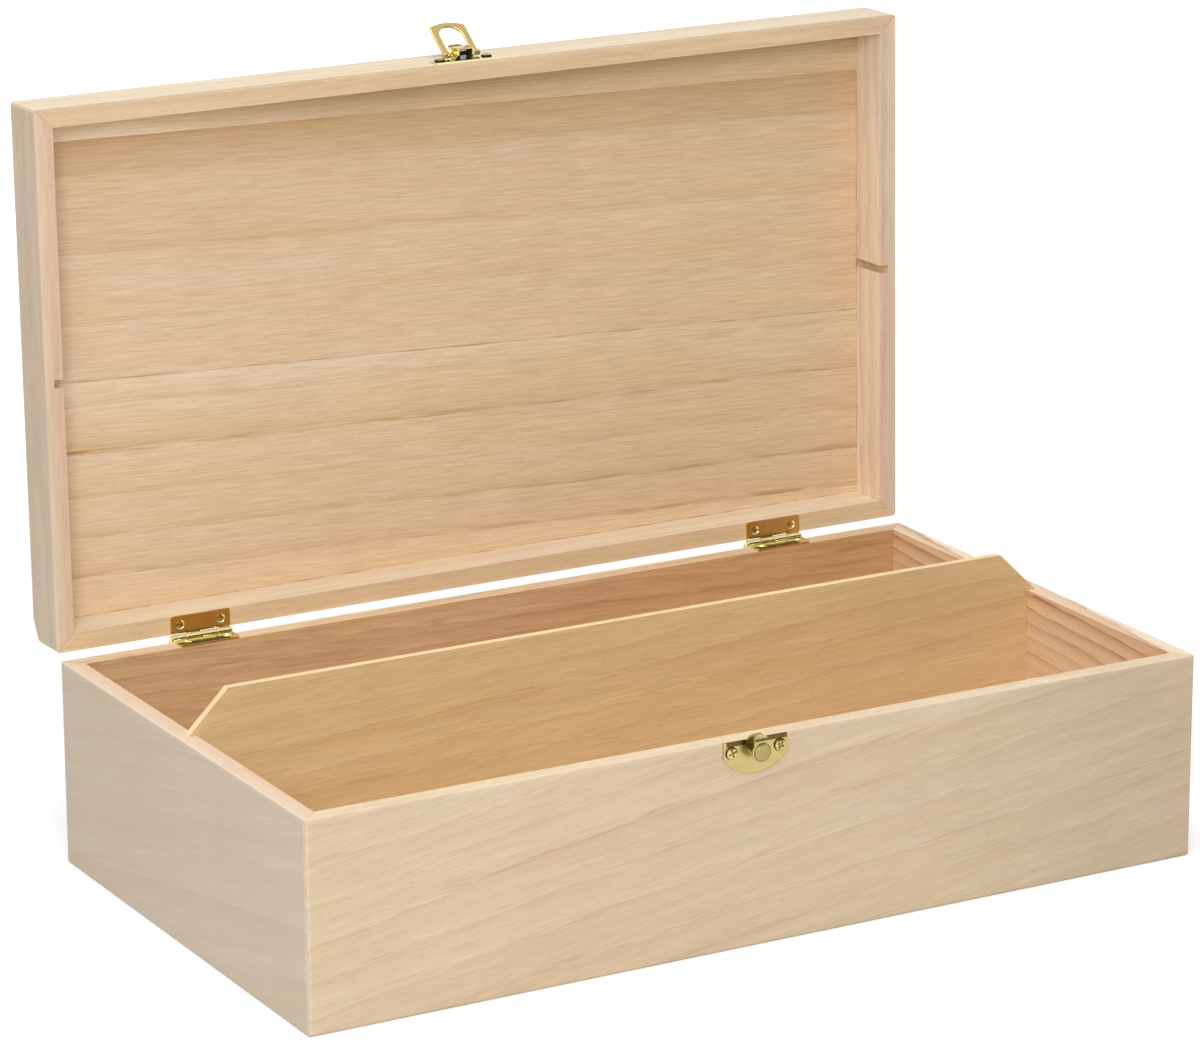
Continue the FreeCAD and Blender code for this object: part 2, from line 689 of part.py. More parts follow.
for side, direction in (("left", -1), ("right", 1)):
    on_tray = Placement(HINGE_LINE + Vector(direction * value(HINGE_X), 0, 0), Rotation())
    on_lid = OPEN_TURN * on_tray
    hinge_leaf(f"{side}_hinge_tray_leaf", on_tray, False)
    hinge_leaf(f"{side}_hinge_lid_leaf", on_lid, True)
    peened = ("hinge_length / 2", "hinge_pin_radius", "pin_head_radius", "pin_head")
    headed_pin(f"{side}_hinge_pin", on_tray, *peened)
    screws = (LEAF_SCREW_X, f"-{LEAF_SCREW_BACK}")
    screw_pair(f"{side}_hinge_tray_screws", on_tray, *screws, "-leaf_gap / 2", "", countersunk)
    screw_pair(f"{side}_hinge_lid_screws", on_lid, *screws, "leaf_gap / 2", "-", countersunk)

# --- Clasp plates ---------------------------------------------------------------------------------------


def plate(body, up):
    """A pressed plate: straight along the rim, with a round belly away from it."""
    half = "plate_width / 2"
    belly = "(plate_depth - plate_side)"
    radius = f"((plate_width ^ 2 / 4 + {belly} ^ 2) / (2 * {belly}))"
    sketch = sketch_on(body, "XY", "plate")
    outline(
        sketch,
        (f"-{half}", "0"),
        straight(half, "0"),
        straight(half, f"{up}plate_side"),
        curve(f"-{half}", f"{up}plate_side", "right" if up else "left", cy=f"{up}(plate_depth - {radius})"),
    )
    pad(body, sketch, "sheet_thickness")
    holes = sketch_on(body, "XY", "screw_holes", "sheet_thickness")
    for side in ("-", ""):
        circle(holes, f"{side}{PLATE_SCREW_X}", f"{up}plate_screw_drop", SCREW_HOLE)
    pocket(body, holes)


def catch_plate():
    """The tray's plate: a tongue curls up over the rim and down to a round knob.

    The knob's lower edge turns back to the plate, and the loop's arch catches under that lip.
    """
    body = new_body("catch_plate")
    back = "(knob_stand - sheet_thickness)"
    knob = circle(sketch_on(body, "XY", "knob", back), "0", "-knob_drop", "knob_radius")
    pad(body, knob, "sheet_thickness")
    face = value("knob_stand")
    round_edges(body, lambda point: near(point.z, face), "knob_edge")

    lip = sketch_on(body, "XY", "lip", "sheet_thickness / 2")
    inner = "(neck_radius - sheet_thickness)"
    outline(
        lip,
        ("-neck_radius", "-knob_drop"),
        curve("neck_radius", "-knob_drop", "left", cy="-knob_drop"),
        straight(inner, "-knob_drop"),
        curve(f"-{inner}", "-knob_drop", "right", cy="-knob_drop"),
    )
    pad(body, lip, "knob_stand - sheet_thickness")
    plate(body, "-")

    curl = "(hook_rise - knob_stand / 2)"
    strap = sketch_on(body, "YZ", "strap")
    outline(
        strap,
        ("-knob_drop", "0"),
        straight(curl, "0"),
        curve(curl, "knob_stand", "left", cx=curl),
        straight("-knob_drop", "knob_stand"),
        straight("-knob_drop", back),
        straight(curl, back),
        curve(curl, "sheet_thickness", "right", cx=curl),
        straight("-knob_drop", "sheet_thickness"),
    )
    pad(body, strap, "hook_width", both=True)

    half = "(hook_width / 2)"
    crown = outline(
        sketch_on(body, "XY", "crown"),
        ("-hook_width", "0"),
        straight(f"-{half}", "0"),
        curve(half, "0", "right", cy=f"(hook_rise - ({half} ^ 2 + hook_rise ^ 2) / (2 * hook_rise))"),
        straight("hook_width", "0"),
        straight("hook_width", "2 * hook_rise"),
        straight("-hook_width", "2 * hook_rise"),
    )
    pocket(body, crown, both=True)
    body.Placement = ON_TRAY_FRONT


def clasp_plate():
    """The lid's plate, with two ears folded up to hold the lever's rivet."""
    body = new_body("clasp_plate")
    plate(body, "")
    near_side = "(pivot_rise - ear_radius)"
    far_side = "(pivot_rise + ear_radius)"
    foot = "sheet_thickness / 2"
    ear = outline(
        sketch_on(body, "YZ", "ear", f"{LEVER_INSIDE} - ear_play - sheet_thickness"),
        (near_side, foot),
        straight(far_side, foot),
        straight(far_side, "pivot_stand"),
        curve(near_side, "pivot_stand", "left", cy="pivot_stand"),
    )
    mirrored(body, [pad(body, ear, "sheet_thickness")], "YZ")
    hole = sketch_on(body, "YZ", "rivet_hole")
    circle(hole, "pivot_rise", "pivot_stand", "rivet_radius + running_play")
    pocket(body, hole, both=True)
    body.Placement = ON_LID_FRONT


catch_plate()
clasp_plate()
FACE = "sheet_thickness"
screw_pair(
    "catch_plate_screws", ON_TRAY_FRONT, PLATE_SCREW_X, "-plate_screw_drop", FACE, "", domed
)
screw_pair("clasp_plate_screws", ON_LID_FRONT, PLATE_SCREW_X, "plate_screw_drop", FACE, "", domed)

# --- Lever and loop ------------------------------------------------------------------------------------


def clasp_lever():
    """A strip folded into a channel; its back runs on as a hollowed finger tongue."""
    body = new_body("clasp_lever")
    nose = "(pivot_rise - lever_nose)"
    fold = f"({nose} + nose_round)"
    bottom = "(pivot_stand - lever_nose)"
    end = "(pivot_rise + cheek_reach)"

    tip = "(pivot_rise + tongue_reach)"
    dip_start = f"({tip} - tongue_dip_run)"
    dip_middle = f"({tip} - tongue_dip_run / 2)"
    bend = "((tongue_dip_run ^ 2 / 4 + tongue_dip ^ 2) / (2 * tongue_dip))"
    bend_level = f"(lever_top + {bend} - tongue_dip)"
    under = "(lever_top - sheet_thickness)"
    outer_bend = f"({bend} + sheet_thickness)"
    under_start = f"({dip_middle} - sqrt({outer_bend} ^ 2 - ({bend_level} - {under}) ^ 2))"
    grown = f"{outer_bend} / {bend}"
    under_tip = f"({dip_middle} + tongue_dip_run / 2 * {grown})"
    under_tip_level = f"({bend_level} + (lever_top - {bend_level}) * {grown})"
    back = outline(
        sketch_on(body, "YZ", "back"),
        (fold, "lever_top"),
        curve(nose, "lever_top - nose_round", "left", cx=fold),
        straight(nose, under),
        straight(under_start, under),
        curve(under_tip, under_tip_level, "left", cx=dip_middle),
        straight(tip, "lever_top"),
        curve(dip_start, "lever_top", "right", cy=bend_level),
    )
    pad(body, back, "lever_width", both=True)
    tip_y = value(tip) - 1e-3
    round_edges(body, lambda point: point.y > tip_y, "tongue_round", steady_x=True)

    cheek = outline(
        sketch_on(body, "YZ", "cheek", LEVER_INSIDE),
        ("pivot_rise", bottom),
        straight(end, bottom),
        straight(end, f"lever_top - sheet_thickness / 2"),
        straight(nose, f"lever_top - sheet_thickness / 2"),
        straight(nose, "pivot_stand"),
        curve("pivot_rise", bottom, "left", cx="pivot_rise"),
    )
    mirrored(body, [pad(body, cheek, "sheet_thickness")], "YZ")
    holes = sketch_on(body, "YZ", "holes")
    circle(holes, "pivot_rise", "pivot_stand", "rivet_radius + running_play")
    circle(holes, LOOP_PIN_RISE, LOOP_PIN_STAND, "loop_pin_radius + running_play")
    pocket(body, holes, both=True)
    body.Placement = ON_LID_FRONT


def clasp_loop():
    """A stamped loop, drawn flat with its arch along +Y and its feet rolled into eyes on the X axis."""
    body = new_body("clasp_loop")
    half = "(loop_width / 2)"
    hole = "(loop_width / 2 - loop_leg)"
    corner = "(loop_inside + loop_crown - crown_rise)"
    crown = "((loop_width ^ 2 / 4 + crown_rise ^ 2) / (2 * crown_rise))"
    frame = outline(
        sketch_on(body, "XY", "frame"),
        (f"-{half}", "0"),
        straight(f"-{hole}", "0"),
        straight(f"-{hole}", f"loop_inside - {hole}"),
        curve(hole, f"loop_inside - {hole}", "right", cy=f"loop_inside - {hole}"),
        straight(hole, "0"),
        straight(half, "0"),
        straight(half, corner),
        curve(f"-{half}", corner, "left", cy=f"{corner} + crown_rise - {crown}"),
    )
    pad(body, frame, "loop_thickness", both=True)
    corner_y = value(corner)
    round_edges(body, lambda point: near(point.y, corner_y), "loop_corner", steady_x=True)
    face = value("loop_thickness / 2")
    round_edges(body, lambda point: near(abs(point.z), face), "loop_edge")
    eye = circle(sketch_on(body, "YZ", "eye", f"{hole} + loop_leg / 2"), "0", "0", "eye_radius")
    mirrored(body, [pad(body, eye, "loop_leg", both=True)], "YZ")
    bore = circle(sketch_on(body, "YZ", "bore"), "0", "0", "loop_pin_radius + running_play")
    pocket(body, bore, both=True)
    pin_spot = Vector(0, value(LOOP_PIN_RISE), value(LOOP_PIN_STAND))
    body.Placement = ON_LID_FRONT * Placement(pin_spot, Rotation(Vector(1, 0, 0), value("loop_lean")))


RIVET = ("(lever_width / 2 + running_play)", "rivet_radius", "rivet_head_radius", "rivet_head")
LOOP_PIN = ("(loop_width / 2 + running_play)", "loop_pin_radius", "loop_pin_head_radius", "loop_pin_head")
headed_pin("clasp_rivet", ON_LID_FRONT, *RIVET, "pivot_rise", "pivot_stand")
headed_pin("clasp_loop_pin", ON_LID_FRONT, *LOOP_PIN, LOOP_PIN_RISE, LOOP_PIN_STAND)
clasp_lever()
clasp_loop()

# --- Check and write ------------------------------------------------------------------------------------

doc.recompute()
failed = [item.Name for item in doc.Objects if {"Invalid", "Error"} & set(item.State)]
if failed:
    raise RuntimeError(f"features that did not build: {failed}")
pieces = [item for item in doc.Objects if item.TypeId == "PartDesign::Body"]
for piece in pieces:
    if piece.Shape.isNull() or not piece.Shape.isValid():
        raise RuntimeError(f"{piece.Label} has no valid shape")
os.makedirs("parts", exist_ok=True)
for piece in pieces:
    piece.Shape.exportStep(f"parts/{piece.Label}.step")
    print(piece.Label, len(piece.Shape.Solids), round(piece.Shape.Volume, 2))
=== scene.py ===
from math import cos, radians, sin

import bmesh
import bpy
import numpy as np
from mathutils import Matrix, Vector


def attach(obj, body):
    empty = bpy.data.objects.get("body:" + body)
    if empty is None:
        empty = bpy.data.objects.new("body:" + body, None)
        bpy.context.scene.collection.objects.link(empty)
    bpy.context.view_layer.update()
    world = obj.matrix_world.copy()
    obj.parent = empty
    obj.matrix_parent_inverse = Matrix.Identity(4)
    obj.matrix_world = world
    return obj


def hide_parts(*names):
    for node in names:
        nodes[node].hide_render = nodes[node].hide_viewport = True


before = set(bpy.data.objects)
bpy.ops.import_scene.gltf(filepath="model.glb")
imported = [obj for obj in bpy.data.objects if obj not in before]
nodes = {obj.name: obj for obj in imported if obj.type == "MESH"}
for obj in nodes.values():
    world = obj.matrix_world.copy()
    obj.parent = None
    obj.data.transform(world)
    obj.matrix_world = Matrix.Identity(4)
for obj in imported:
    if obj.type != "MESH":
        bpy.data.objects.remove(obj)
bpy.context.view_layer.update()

# --- The studio -----------------------------------------------------------------------------------
# A plain white sweep of paper under a large soft light overhead, with a second soft light at the
# left front. The floor shows white to the eye and to polished brass, and keeps the box's shadow.

CAMERA_PLACE = Vector((-0.88637, -1.56018, 0.64976))
CAMERA_YAW = radians(29.285)
CAMERA_PITCH = radians(16.211)
CAMERA_ROLL = radians(0.251)
CAMERA_LENS = 155.69

forward = Vector((sin(CAMERA_YAW) * cos(CAMERA_PITCH),
                  cos(CAMERA_YAW) * cos(CAMERA_PITCH),
                  -sin(CAMERA_PITCH)))
level_right = Vector((cos(CAMERA_YAW), -sin(CAMERA_YAW), 0))
level_down = forward.cross(level_right)
right = cos(CAMERA_ROLL) * level_right + sin(CAMERA_ROLL) * level_down
up = sin(CAMERA_ROLL) * level_right - cos(CAMERA_ROLL) * level_down
camera_data = bpy.data.cameras.new("camera")
camera_data.lens = CAMERA_LENS
camera_data.sensor_width = 36
camera = bpy.data.objects.new("camera", camera_data)
turned_camera = Matrix((right, up, -forward)).transposed().to_4x4()
camera.matrix_world = Matrix.Translation(CAMERA_PLACE) @ turned_camera
bpy.context.scene.collection.objects.link(camera)
bpy.context.scene.camera = camera
bpy.context.scene.view_settings.view_transform = "Standard"


def add_node(tree, kind, inputs=None, **settings):
    """A shader node with its settings, and each input either linked to a socket or set to a value."""
    node = tree.nodes.new(kind)
    for name, value in settings.items():
        setattr(node, name, value)
    for name, value in (inputs or {}).items():
        if isinstance(value, bpy.types.NodeSocket):
            tree.links.new(value, node.inputs[name])
        else:
            node.inputs[name].default_value = value
    return node


def math_node(tree, operation, *values, clamp=False):
    """The result socket of one Math node."""
    return add_node(tree, "ShaderNodeMath", dict(enumerate(values)),
                    operation=operation, use_clamp=clamp).outputs[0]


def seen_rays(tree):
    """1 for camera, glossy and transmission rays, 0 for the rays that carry light to the wood."""
    path = add_node(tree, "ShaderNodeLightPath")
    seen = math_node(tree, "MAXIMUM", path.outputs["Is Camera Ray"], path.outputs["Is Glossy Ray"])
    return math_node(tree, "MAXIMUM", seen, path.outputs["Is Transmission Ray"])


world = bpy.data.worlds.new("studio_air")
world.use_nodes = True
world.node_tree.nodes.clear()
WORLD_LIGHT = 0.30
air = add_node(world.node_tree, "ShaderNodeBackground", {
    "Color": (0.97, 0.985, 1.0, 1.0),
    "Strength": add_node(world.node_tree, "ShaderNodeMapRange", {
        "Value": seen_rays(world.node_tree), "To Min": WORLD_LIGHT, "To Max": 1.0}).outputs[0]})
add_node(world.node_tree, "ShaderNodeOutputWorld", {"Surface": air.outputs[0]})
bpy.context.scene.world = world

FLOOR_HALF = 7.0
paper = bpy.data.materials.new("white_paper_sweep")
paper.use_nodes = True
paper.node_tree.nodes.clear()
far = add_node(paper.node_tree, "ShaderNodeVectorMath", {
    0: add_node(paper.node_tree, "ShaderNodeTexCoord").outputs["Object"]}, operation="LENGTH")
own_glow = add_node(paper.node_tree, "ShaderNodeMapRange", {
    "Value": far.outputs["Value"], "From Min": 0.3, "From Max": 1.2, "To Min": 0.5, "To Max": 1.0},
    interpolation_type="SMOOTHSTEP")
paper_glow = add_node(paper.node_tree, "ShaderNodeEmission", {
    "Color": (1.0, 1.0, 1.0, 1.0),
    "Strength": math_node(paper.node_tree, "MULTIPLY", own_glow.outputs[0],
                          seen_rays(paper.node_tree))})
paper_face = add_node(paper.node_tree, "ShaderNodeBsdfDiffuse", {"Color": (0.62, 0.62, 0.62, 1.0)})
paper_sum = add_node(paper.node_tree, "ShaderNodeAddShader", {
    0: paper_face.outputs[0], 1: paper_glow.outputs[0]})
add_node(paper.node_tree, "ShaderNodeOutputMaterial", {"Surface": paper_sum.outputs[0]})
floor_corners = [(x * FLOOR_HALF, y * FLOOR_HALF, 0.0) for x, y in ((-1, -1), (1, -1), (1, 1), (-1, 1))]
floor_mesh = bpy.data.meshes.new("studio_floor")
floor_mesh.from_pydata(floor_corners, [], [(0, 1, 2, 3)])
floor_mesh.materials.append(paper)
studio_floor = bpy.data.objects.new("studio_floor", floor_mesh)
bpy.context.scene.collection.objects.link(studio_floor)

BOX_MIDDLE = Vector((0.0, 0.0, 0.1))


def soft_light(name, place, size, power, colour):
    """A square soft box at a place, facing the middle of the box."""
    data = bpy.data.lights.new(name, "AREA")
    data.size = size
    data.energy = power
    data.color = colour
    lamp = bpy.data.objects.new(name, data)
    lamp.location = place
    lamp.rotation_euler = (BOX_MIDDLE - Vector(place)).to_track_quat("-Z", "Y").to_euler()
    lamp.visible_camera = False
    bpy.context.scene.collection.objects.link(lamp)


soft_light("overhead_light", (-0.2, -0.15, 2.2), 1.2, 28.0, (0.97, 0.99, 1.0))
soft_light("front_light", (-0.75, -1.15, 0.85), 0.6, 13.5, (1.0, 0.97, 0.93))
soft_light("side_light", (-2.4, 0.3, 0.9), 1.4, 5.0, (0.93, 0.97, 1.0))

# Two dark warm cards, seen only by the polished brass, give it its dark reflections.
CARD_BROWN = (0.07, 0.055, 0.03, 1.0)
for card_name, corners in {
    "front_black_card": ((0.35, -2.6, 0.25), (2.3, -1.5, 0.25), (2.3, -1.5, 1.9), (0.35, -2.6, 1.9)),
    "left_black_card": ((-2.6, -1.6, 0.6), (-1.5, -2.4, 0.6), (-1.5, -2.4, 2.0), (-2.6, -1.6, 2.0)),
}.items():
    card_mesh = bpy.data.meshes.new(card_name)
    card_mesh.from_pydata(corners, [], [(0, 1, 2, 3)])
    card_paint = bpy.data.materials.new(card_name)
    card_paint.use_nodes = True
    card_paint.node_tree.nodes["Principled BSDF"].inputs["Base Color"].default_value = CARD_BROWN
    card_mesh.materials.append(card_paint)
    card = bpy.data.objects.new(card_name, card_mesh)
    card.visible_camera = card.visible_diffuse = card.visible_shadow = False
    bpy.context.scene.collection.objects.link(card)

# --- The tray: four mitred walls and a thin floor ---------------------------------------------------
# Boards of a pale, soft, open-grained wood, sawn, planed, mitred, glued and sanded, and left without
# varnish. The end walls run grainwise front to back, the long walls and the floor left to right.


def srgb(red, green, blue):
    """The linear colour of 8-bit display values."""
    share = np.array((red, green, blue)) / 255
    linear = np.where(share <= 0.04045, share / 12.92, ((share + 0.055) / 1.055) ** 2.4)
    return (*linear.tolist(), 1.0)


def new_group(name, inputs, outputs):
    """An empty shader node group with its sockets, and its input and output nodes."""
    group = bpy.data.node_groups.new(name, "ShaderNodeTree")
    for socket, (kind, value) in inputs.items():
        made = group.interface.new_socket(socket, in_out="INPUT", socket_type=kind)
        if value is not None:
            made.default_value = value
    for socket, kind in outputs.items():
        group.interface.new_socket(socket, in_out="OUTPUT", socket_type=kind)
    return group, group.nodes.new("NodeGroupInput"), group.nodes.new("NodeGroupOutput")


COLOUR, NUMBER, VECTOR = "NodeSocketColor", "NodeSocketFloat", "NodeSocketVector"

sawn_wood, wood_in, wood_out = new_group("sawn_wood", {
    "Vector": (VECTOR, None),
    "Early Wood": (COLOUR, (0.7, 0.5, 0.35, 1.0)),
    "Late Wood": (COLOUR, (0.5, 0.35, 0.2, 1.0)),
    "Blush": (COLOUR, (0.7, 0.45, 0.33, 1.0)),
    "Ring Spacing": (NUMBER, 0.012),
    "Ring Strength": (NUMBER, 0.5),
    "Line Strength": (NUMBER, 0.5),
    "Wander": (NUMBER, 0.01),
    "Fray": (NUMBER, 1.0),
    "Blush Strength": (NUMBER, 0.4),
    "Warmth": (NUMBER, 0.7),
    "Fibre Strength": (NUMBER, 0.12),
    "Strand Strength": (NUMBER, 1.0),
    "Pore Strength": (NUMBER, 0.2),
}, {"Color": COLOUR, "Roughness": NUMBER, "Height": NUMBER})


def stretched_noise(tree, vector, along, across, detail=2.0, roughness=0.5):
    """Noise whose cells are 1/along long on the grain and 1/across wide over it."""
    scaled = add_node(tree, "ShaderNodeVectorMath", {0: vector, 1: (along, across, across)},
                      operation="MULTIPLY")
    return add_node(tree, "ShaderNodeTexNoise", {
        "Vector": scaled.outputs[0], "Scale": 1.0, "Detail": detail, "Roughness": roughness}).outputs[0]


def spread(tree, value, low, high, to_low=0.0, to_high=1.0):
    """A value taken smoothly from one range to another."""
    return add_node(tree, "ShaderNodeMapRange", {
        "Value": value, "From Min": low, "From Max": high, "To Min": to_low, "To Max": to_high},
        interpolation_type="SMOOTHSTEP").outputs[0]


def mix_colours(tree, share, first, second, blend="MIX"):
    """The Color of one Mix node."""
    node = add_node(tree, "ShaderNodeMix", {"Factor": share}, data_type="RGBA", blend_type=blend)
    for index, value in ((6, first), (7, second)):
        if isinstance(value, bpy.types.NodeSocket):
            tree.links.new(value, node.inputs[index])
        else:
            node.inputs[index].default_value = value
    return node.outputs[2]


def product(tree, *values):
    """Several values multiplied together."""
    total = values[0]
    for value in values[1:]:
        total = math_node(tree, "MULTIPLY", total, value)
    return total


# Rings: the distance from the pith, moved by noise from slow waves down to single fibres, gives a
# ring number. Its fraction rises slowly through the pale early wood to a thin dark line that breaks
# up along the fibres, and drops sharply after it.
tree = sawn_wood
place = wood_in.outputs["Vector"]
slow = stretched_noise(tree, place, 2.2, 9.0, 1.0)
slower = stretched_noise(tree, place, 9.0, 46.0, 2.0)
strand = stretched_noise(tree, place, 26.0, 420.0, 2.0, 0.6)
fibre = stretched_noise(tree, place, 62.0, 1500.0, 3.0, 0.65)
waves = math_node(tree, "ADD", math_node(tree, "MULTIPLY_ADD", slow, 2.0, -1.0),
                  math_node(tree, "MULTIPLY_ADD", slower, 0.4, -0.2))
waves = math_node(tree, "MULTIPLY", waves, wood_in.outputs["Wander"])
frays = math_node(tree, "ADD", math_node(tree, "MULTIPLY_ADD", strand, 0.0060, -0.0030),
                  math_node(tree, "MULTIPLY_ADD", fibre, 0.0050, -0.0025))
frays = math_node(tree, "MULTIPLY", frays, wood_in.outputs["Fray"])
section = add_node(tree, "ShaderNodeVectorMath", {0: place, 1: (0.0, 1.0, 1.0)}, operation="MULTIPLY")
pith_way = add_node(tree, "ShaderNodeVectorMath", {0: section.outputs[0]}, operation="LENGTH")
ring = math_node(tree, "DIVIDE", math_node(tree, "ADD", math_node(tree, "ADD", waves, frays),
                                           pith_way.outputs["Value"]), wood_in.outputs["Ring Spacing"])
ring_share = math_node(tree, "FRACT", ring)
ring_year = add_node(tree, "ShaderNodeTexWhiteNoise", {"W": math_node(tree, "FLOOR", ring)},
                     noise_dimensions="1D").outputs["Value"]
ring_force = math_node(tree, "MULTIPLY_ADD", ring_year, 0.75, 0.25)
patch = spread(tree, stretched_noise(tree, place, 3.0, 11.0, 1.0), 0.3, 0.7, 0.35, 1.0)
late_rise = math_node(tree, "POWER", spread(tree, ring_share, 0.10, 0.92), 1.8)
late_drop = spread(tree, ring_share, 0.92, 0.99, 1.0, 0.0)
late = product(tree, late_rise, late_drop, ring_force, patch)
broken = spread(tree, stretched_noise(tree, place, 44.0, 900.0, 2.0), 0.42, 0.60, 0.05, 1.0)
thin_line = product(tree, spread(tree, ring_share, 0.78, 0.92), late_drop, ring_force, patch, broken)

# Fibres: three widths of stretched noise, two of them also fraying the rings. Pores: the tips of a
# finer noise, short brown dashes. Warmth: strands a little yellower than their neighbours.
streak = stretched_noise(tree, place, 7.0, 190.0, 2.0)
pore = spread(tree, stretched_noise(tree, place, 230.0, 2700.0, 0.0), 0.68, 0.80)
mottle = stretched_noise(tree, place, 26.0, 20.0, 2.0)
blush = spread(tree, stretched_noise(tree, place, 4.0, 42.0, 2.0), 0.42, 0.72)
warmth = spread(tree, stretched_noise(tree, place, 12.0, 130.0, 2.0), 0.30, 0.72)

WARM_TINT, LINE_TINT = (1.0, 0.97, 0.85, 1.0), (0.86, 0.74, 0.60, 1.0)
tone = mix_colours(tree, math_node(tree, "MULTIPLY", late, wood_in.outputs["Ring Strength"]),
                   wood_in.outputs["Early Wood"], wood_in.outputs["Late Wood"])
tone = mix_colours(tree, math_node(tree, "MULTIPLY", blush, wood_in.outputs["Blush Strength"]),
                   tone, wood_in.outputs["Blush"])
tone = mix_colours(tree, math_node(tree, "MULTIPLY", warmth, wood_in.outputs["Warmth"]), tone,
                   WARM_TINT, "MULTIPLY")
dark_line = mix_colours(tree, 1.0, wood_in.outputs["Late Wood"], LINE_TINT, "MULTIPLY")
tone = mix_colours(tree, math_node(tree, "MULTIPLY", thin_line, wood_in.outputs["Line Strength"]),
                   tone, dark_line)
tone = mix_colours(tree, math_node(tree, "MULTIPLY", pore, wood_in.outputs["Pore Strength"]),
                   tone, dark_line)
strands = math_node(tree, "ADD", math_node(tree, "MULTIPLY_ADD", streak, 0.8, -0.95), strand)
fibre_sum = math_node(tree, "ADD", math_node(tree, "MULTIPLY_ADD", fibre, 1.5, -0.80),
                      math_node(tree, "MULTIPLY", strands, wood_in.outputs["Strand Strength"]))
lightness = math_node(tree, "MULTIPLY_ADD", fibre_sum, wood_in.outputs["Fibre Strength"],
                      math_node(tree, "MULTIPLY_ADD", mottle, 0.07, 0.965))
deeper = add_node(tree, "ShaderNodeCombineXYZ", {
    "X": lightness, "Y": math_node(tree, "POWER", lightness, 1.2),
    "Z": math_node(tree, "POWER", lightness, 1.6)})
shade = add_node(tree, "ShaderNodeVectorMath", {0: tone, 1: deeper.outputs[0]}, operation="MULTIPLY")
tree.links.new(shade.outputs[0], wood_out.inputs["Color"])
tree.links.new(math_node(tree, "MULTIPLY_ADD", fibre, 0.16, 0.50), wood_out.inputs["Roughness"])
tree.links.new(math_node(tree, "MULTIPLY_ADD", pore, -0.35, math_node(
    tree, "MULTIPLY_ADD", strand, 0.5, fibre)), wood_out.inputs["Height"])

# Where a point of the frame lies: on a mitre, a hair line where |x| and |y| differ by half the
# length less half the width; near an eased outer edge; on an inside face, on the rim, on the inner
# half of the rim; or on the hair line where the lid's panel meets its rails, which lies further out
# on the lid's top than inside it.
HALF_LENGTH, HALF_WIDTH, TRAY_RIM = 0.180, 0.100, 0.077
INNER_HALF_LENGTH, INNER_HALF_WIDTH = 0.173, 0.093
PANEL_MIDDLE, REBATE = 0.0978, 0.0035
HAIR_LINE, PANEL_LINE = (0.00006, 0.00030), (0.00015, 0.00050)
EASED_EDGE, INNER_STRIPE = (0.0004, 0.0022), (0.0018, 0.0044)
frame_places, joint_in, joint_out = new_group("frame_places", {
    "Vector": (VECTOR, None),
    "Rim Height": (NUMBER, TRAY_RIM),
}, {"Mitre": NUMBER, "Edge": NUMBER, "Inside": NUMBER, "Rim": NUMBER, "Inner Rim": NUMBER,
    "Panel Joint": NUMBER})
tree = frame_places
parts = add_node(tree, "ShaderNodeSeparateXYZ", {0: joint_in.outputs["Vector"]})
side_x = math_node(tree, "ABSOLUTE", parts.outputs["X"])
side_y = math_node(tree, "ABSOLUTE", parts.outputs["Y"])
off_mitre = math_node(tree, "ABSOLUTE", math_node(
    tree, "ADD", math_node(tree, "SUBTRACT", side_x, side_y), HALF_WIDTH - HALF_LENGTH))
joint_noise = stretched_noise(tree, joint_in.outputs["Vector"], 600.0, 600.0, 1.0)
mitre = math_node(tree, "MULTIPLY", spread(tree, off_mitre, *HAIR_LINE, 1.0, 0.0),
                  spread(tree, joint_noise, 0.35, 0.6, 0.45, 1.0))
tree.links.new(mitre, joint_out.inputs["Mitre"])
from_x = math_node(tree, "SUBTRACT", HALF_LENGTH, side_x)
from_y = math_node(tree, "SUBTRACT", HALF_WIDTH, side_y)
from_z = math_node(tree, "ABSOLUTE", math_node(
    tree, "SUBTRACT", joint_in.outputs["Rim Height"], parts.outputs["Z"]))
ragged = math_node(tree, "MULTIPLY_ADD", joint_noise, 0.0012, -0.0006)
edge_xy = math_node(tree, "ADD", from_x, from_y)
edge_z = math_node(tree, "ADD", math_node(tree, "MINIMUM", from_x, from_y), from_z)
nearest = math_node(tree, "ADD", math_node(tree, "MINIMUM", edge_xy, edge_z), ragged)
tree.links.new(spread(tree, nearest, *EASED_EDGE, 1.0, 0.0), joint_out.inputs["Edge"])
beyond = math_node(tree, "MAXIMUM", math_node(tree, "SUBTRACT", side_x, INNER_HALF_LENGTH),
                   math_node(tree, "SUBTRACT", side_y, INNER_HALF_WIDTH))
tree.links.new(math_node(tree, "LESS_THAN", beyond, 0.0002), joint_out.inputs["Inside"])
on_rim = math_node(tree, "LESS_THAN", from_z, 0.0003)
tree.links.new(on_rim, joint_out.inputs["Rim"])
stripe_edge = math_node(tree, "MULTIPLY_ADD", stretched_noise(
    tree, joint_in.outputs["Vector"], 90.0, 90.0, 3.0), 0.0036, -0.0018)
tree.links.new(math_node(tree, "MULTIPLY", on_rim, spread(
    tree, math_node(tree, "ADD", beyond, stripe_edge), *INNER_STRIPE, 1.0, 0.0)),
    joint_out.inputs["Inner Rim"])
joint_breaks = spread(tree, stretched_noise(tree, joint_in.outputs["Vector"], 130.0, 130.0, 3.0),
                      0.42, 0.60, 0.05, 1.0)
outside = math_node(tree, "GREATER_THAN", parts.outputs["Z"], PANEL_MIDDLE)
joint_way = math_node(tree, "MULTIPLY", outside, REBATE)
off_joint = math_node(tree, "ABSOLUTE", math_node(tree, "SUBTRACT", beyond, joint_way))
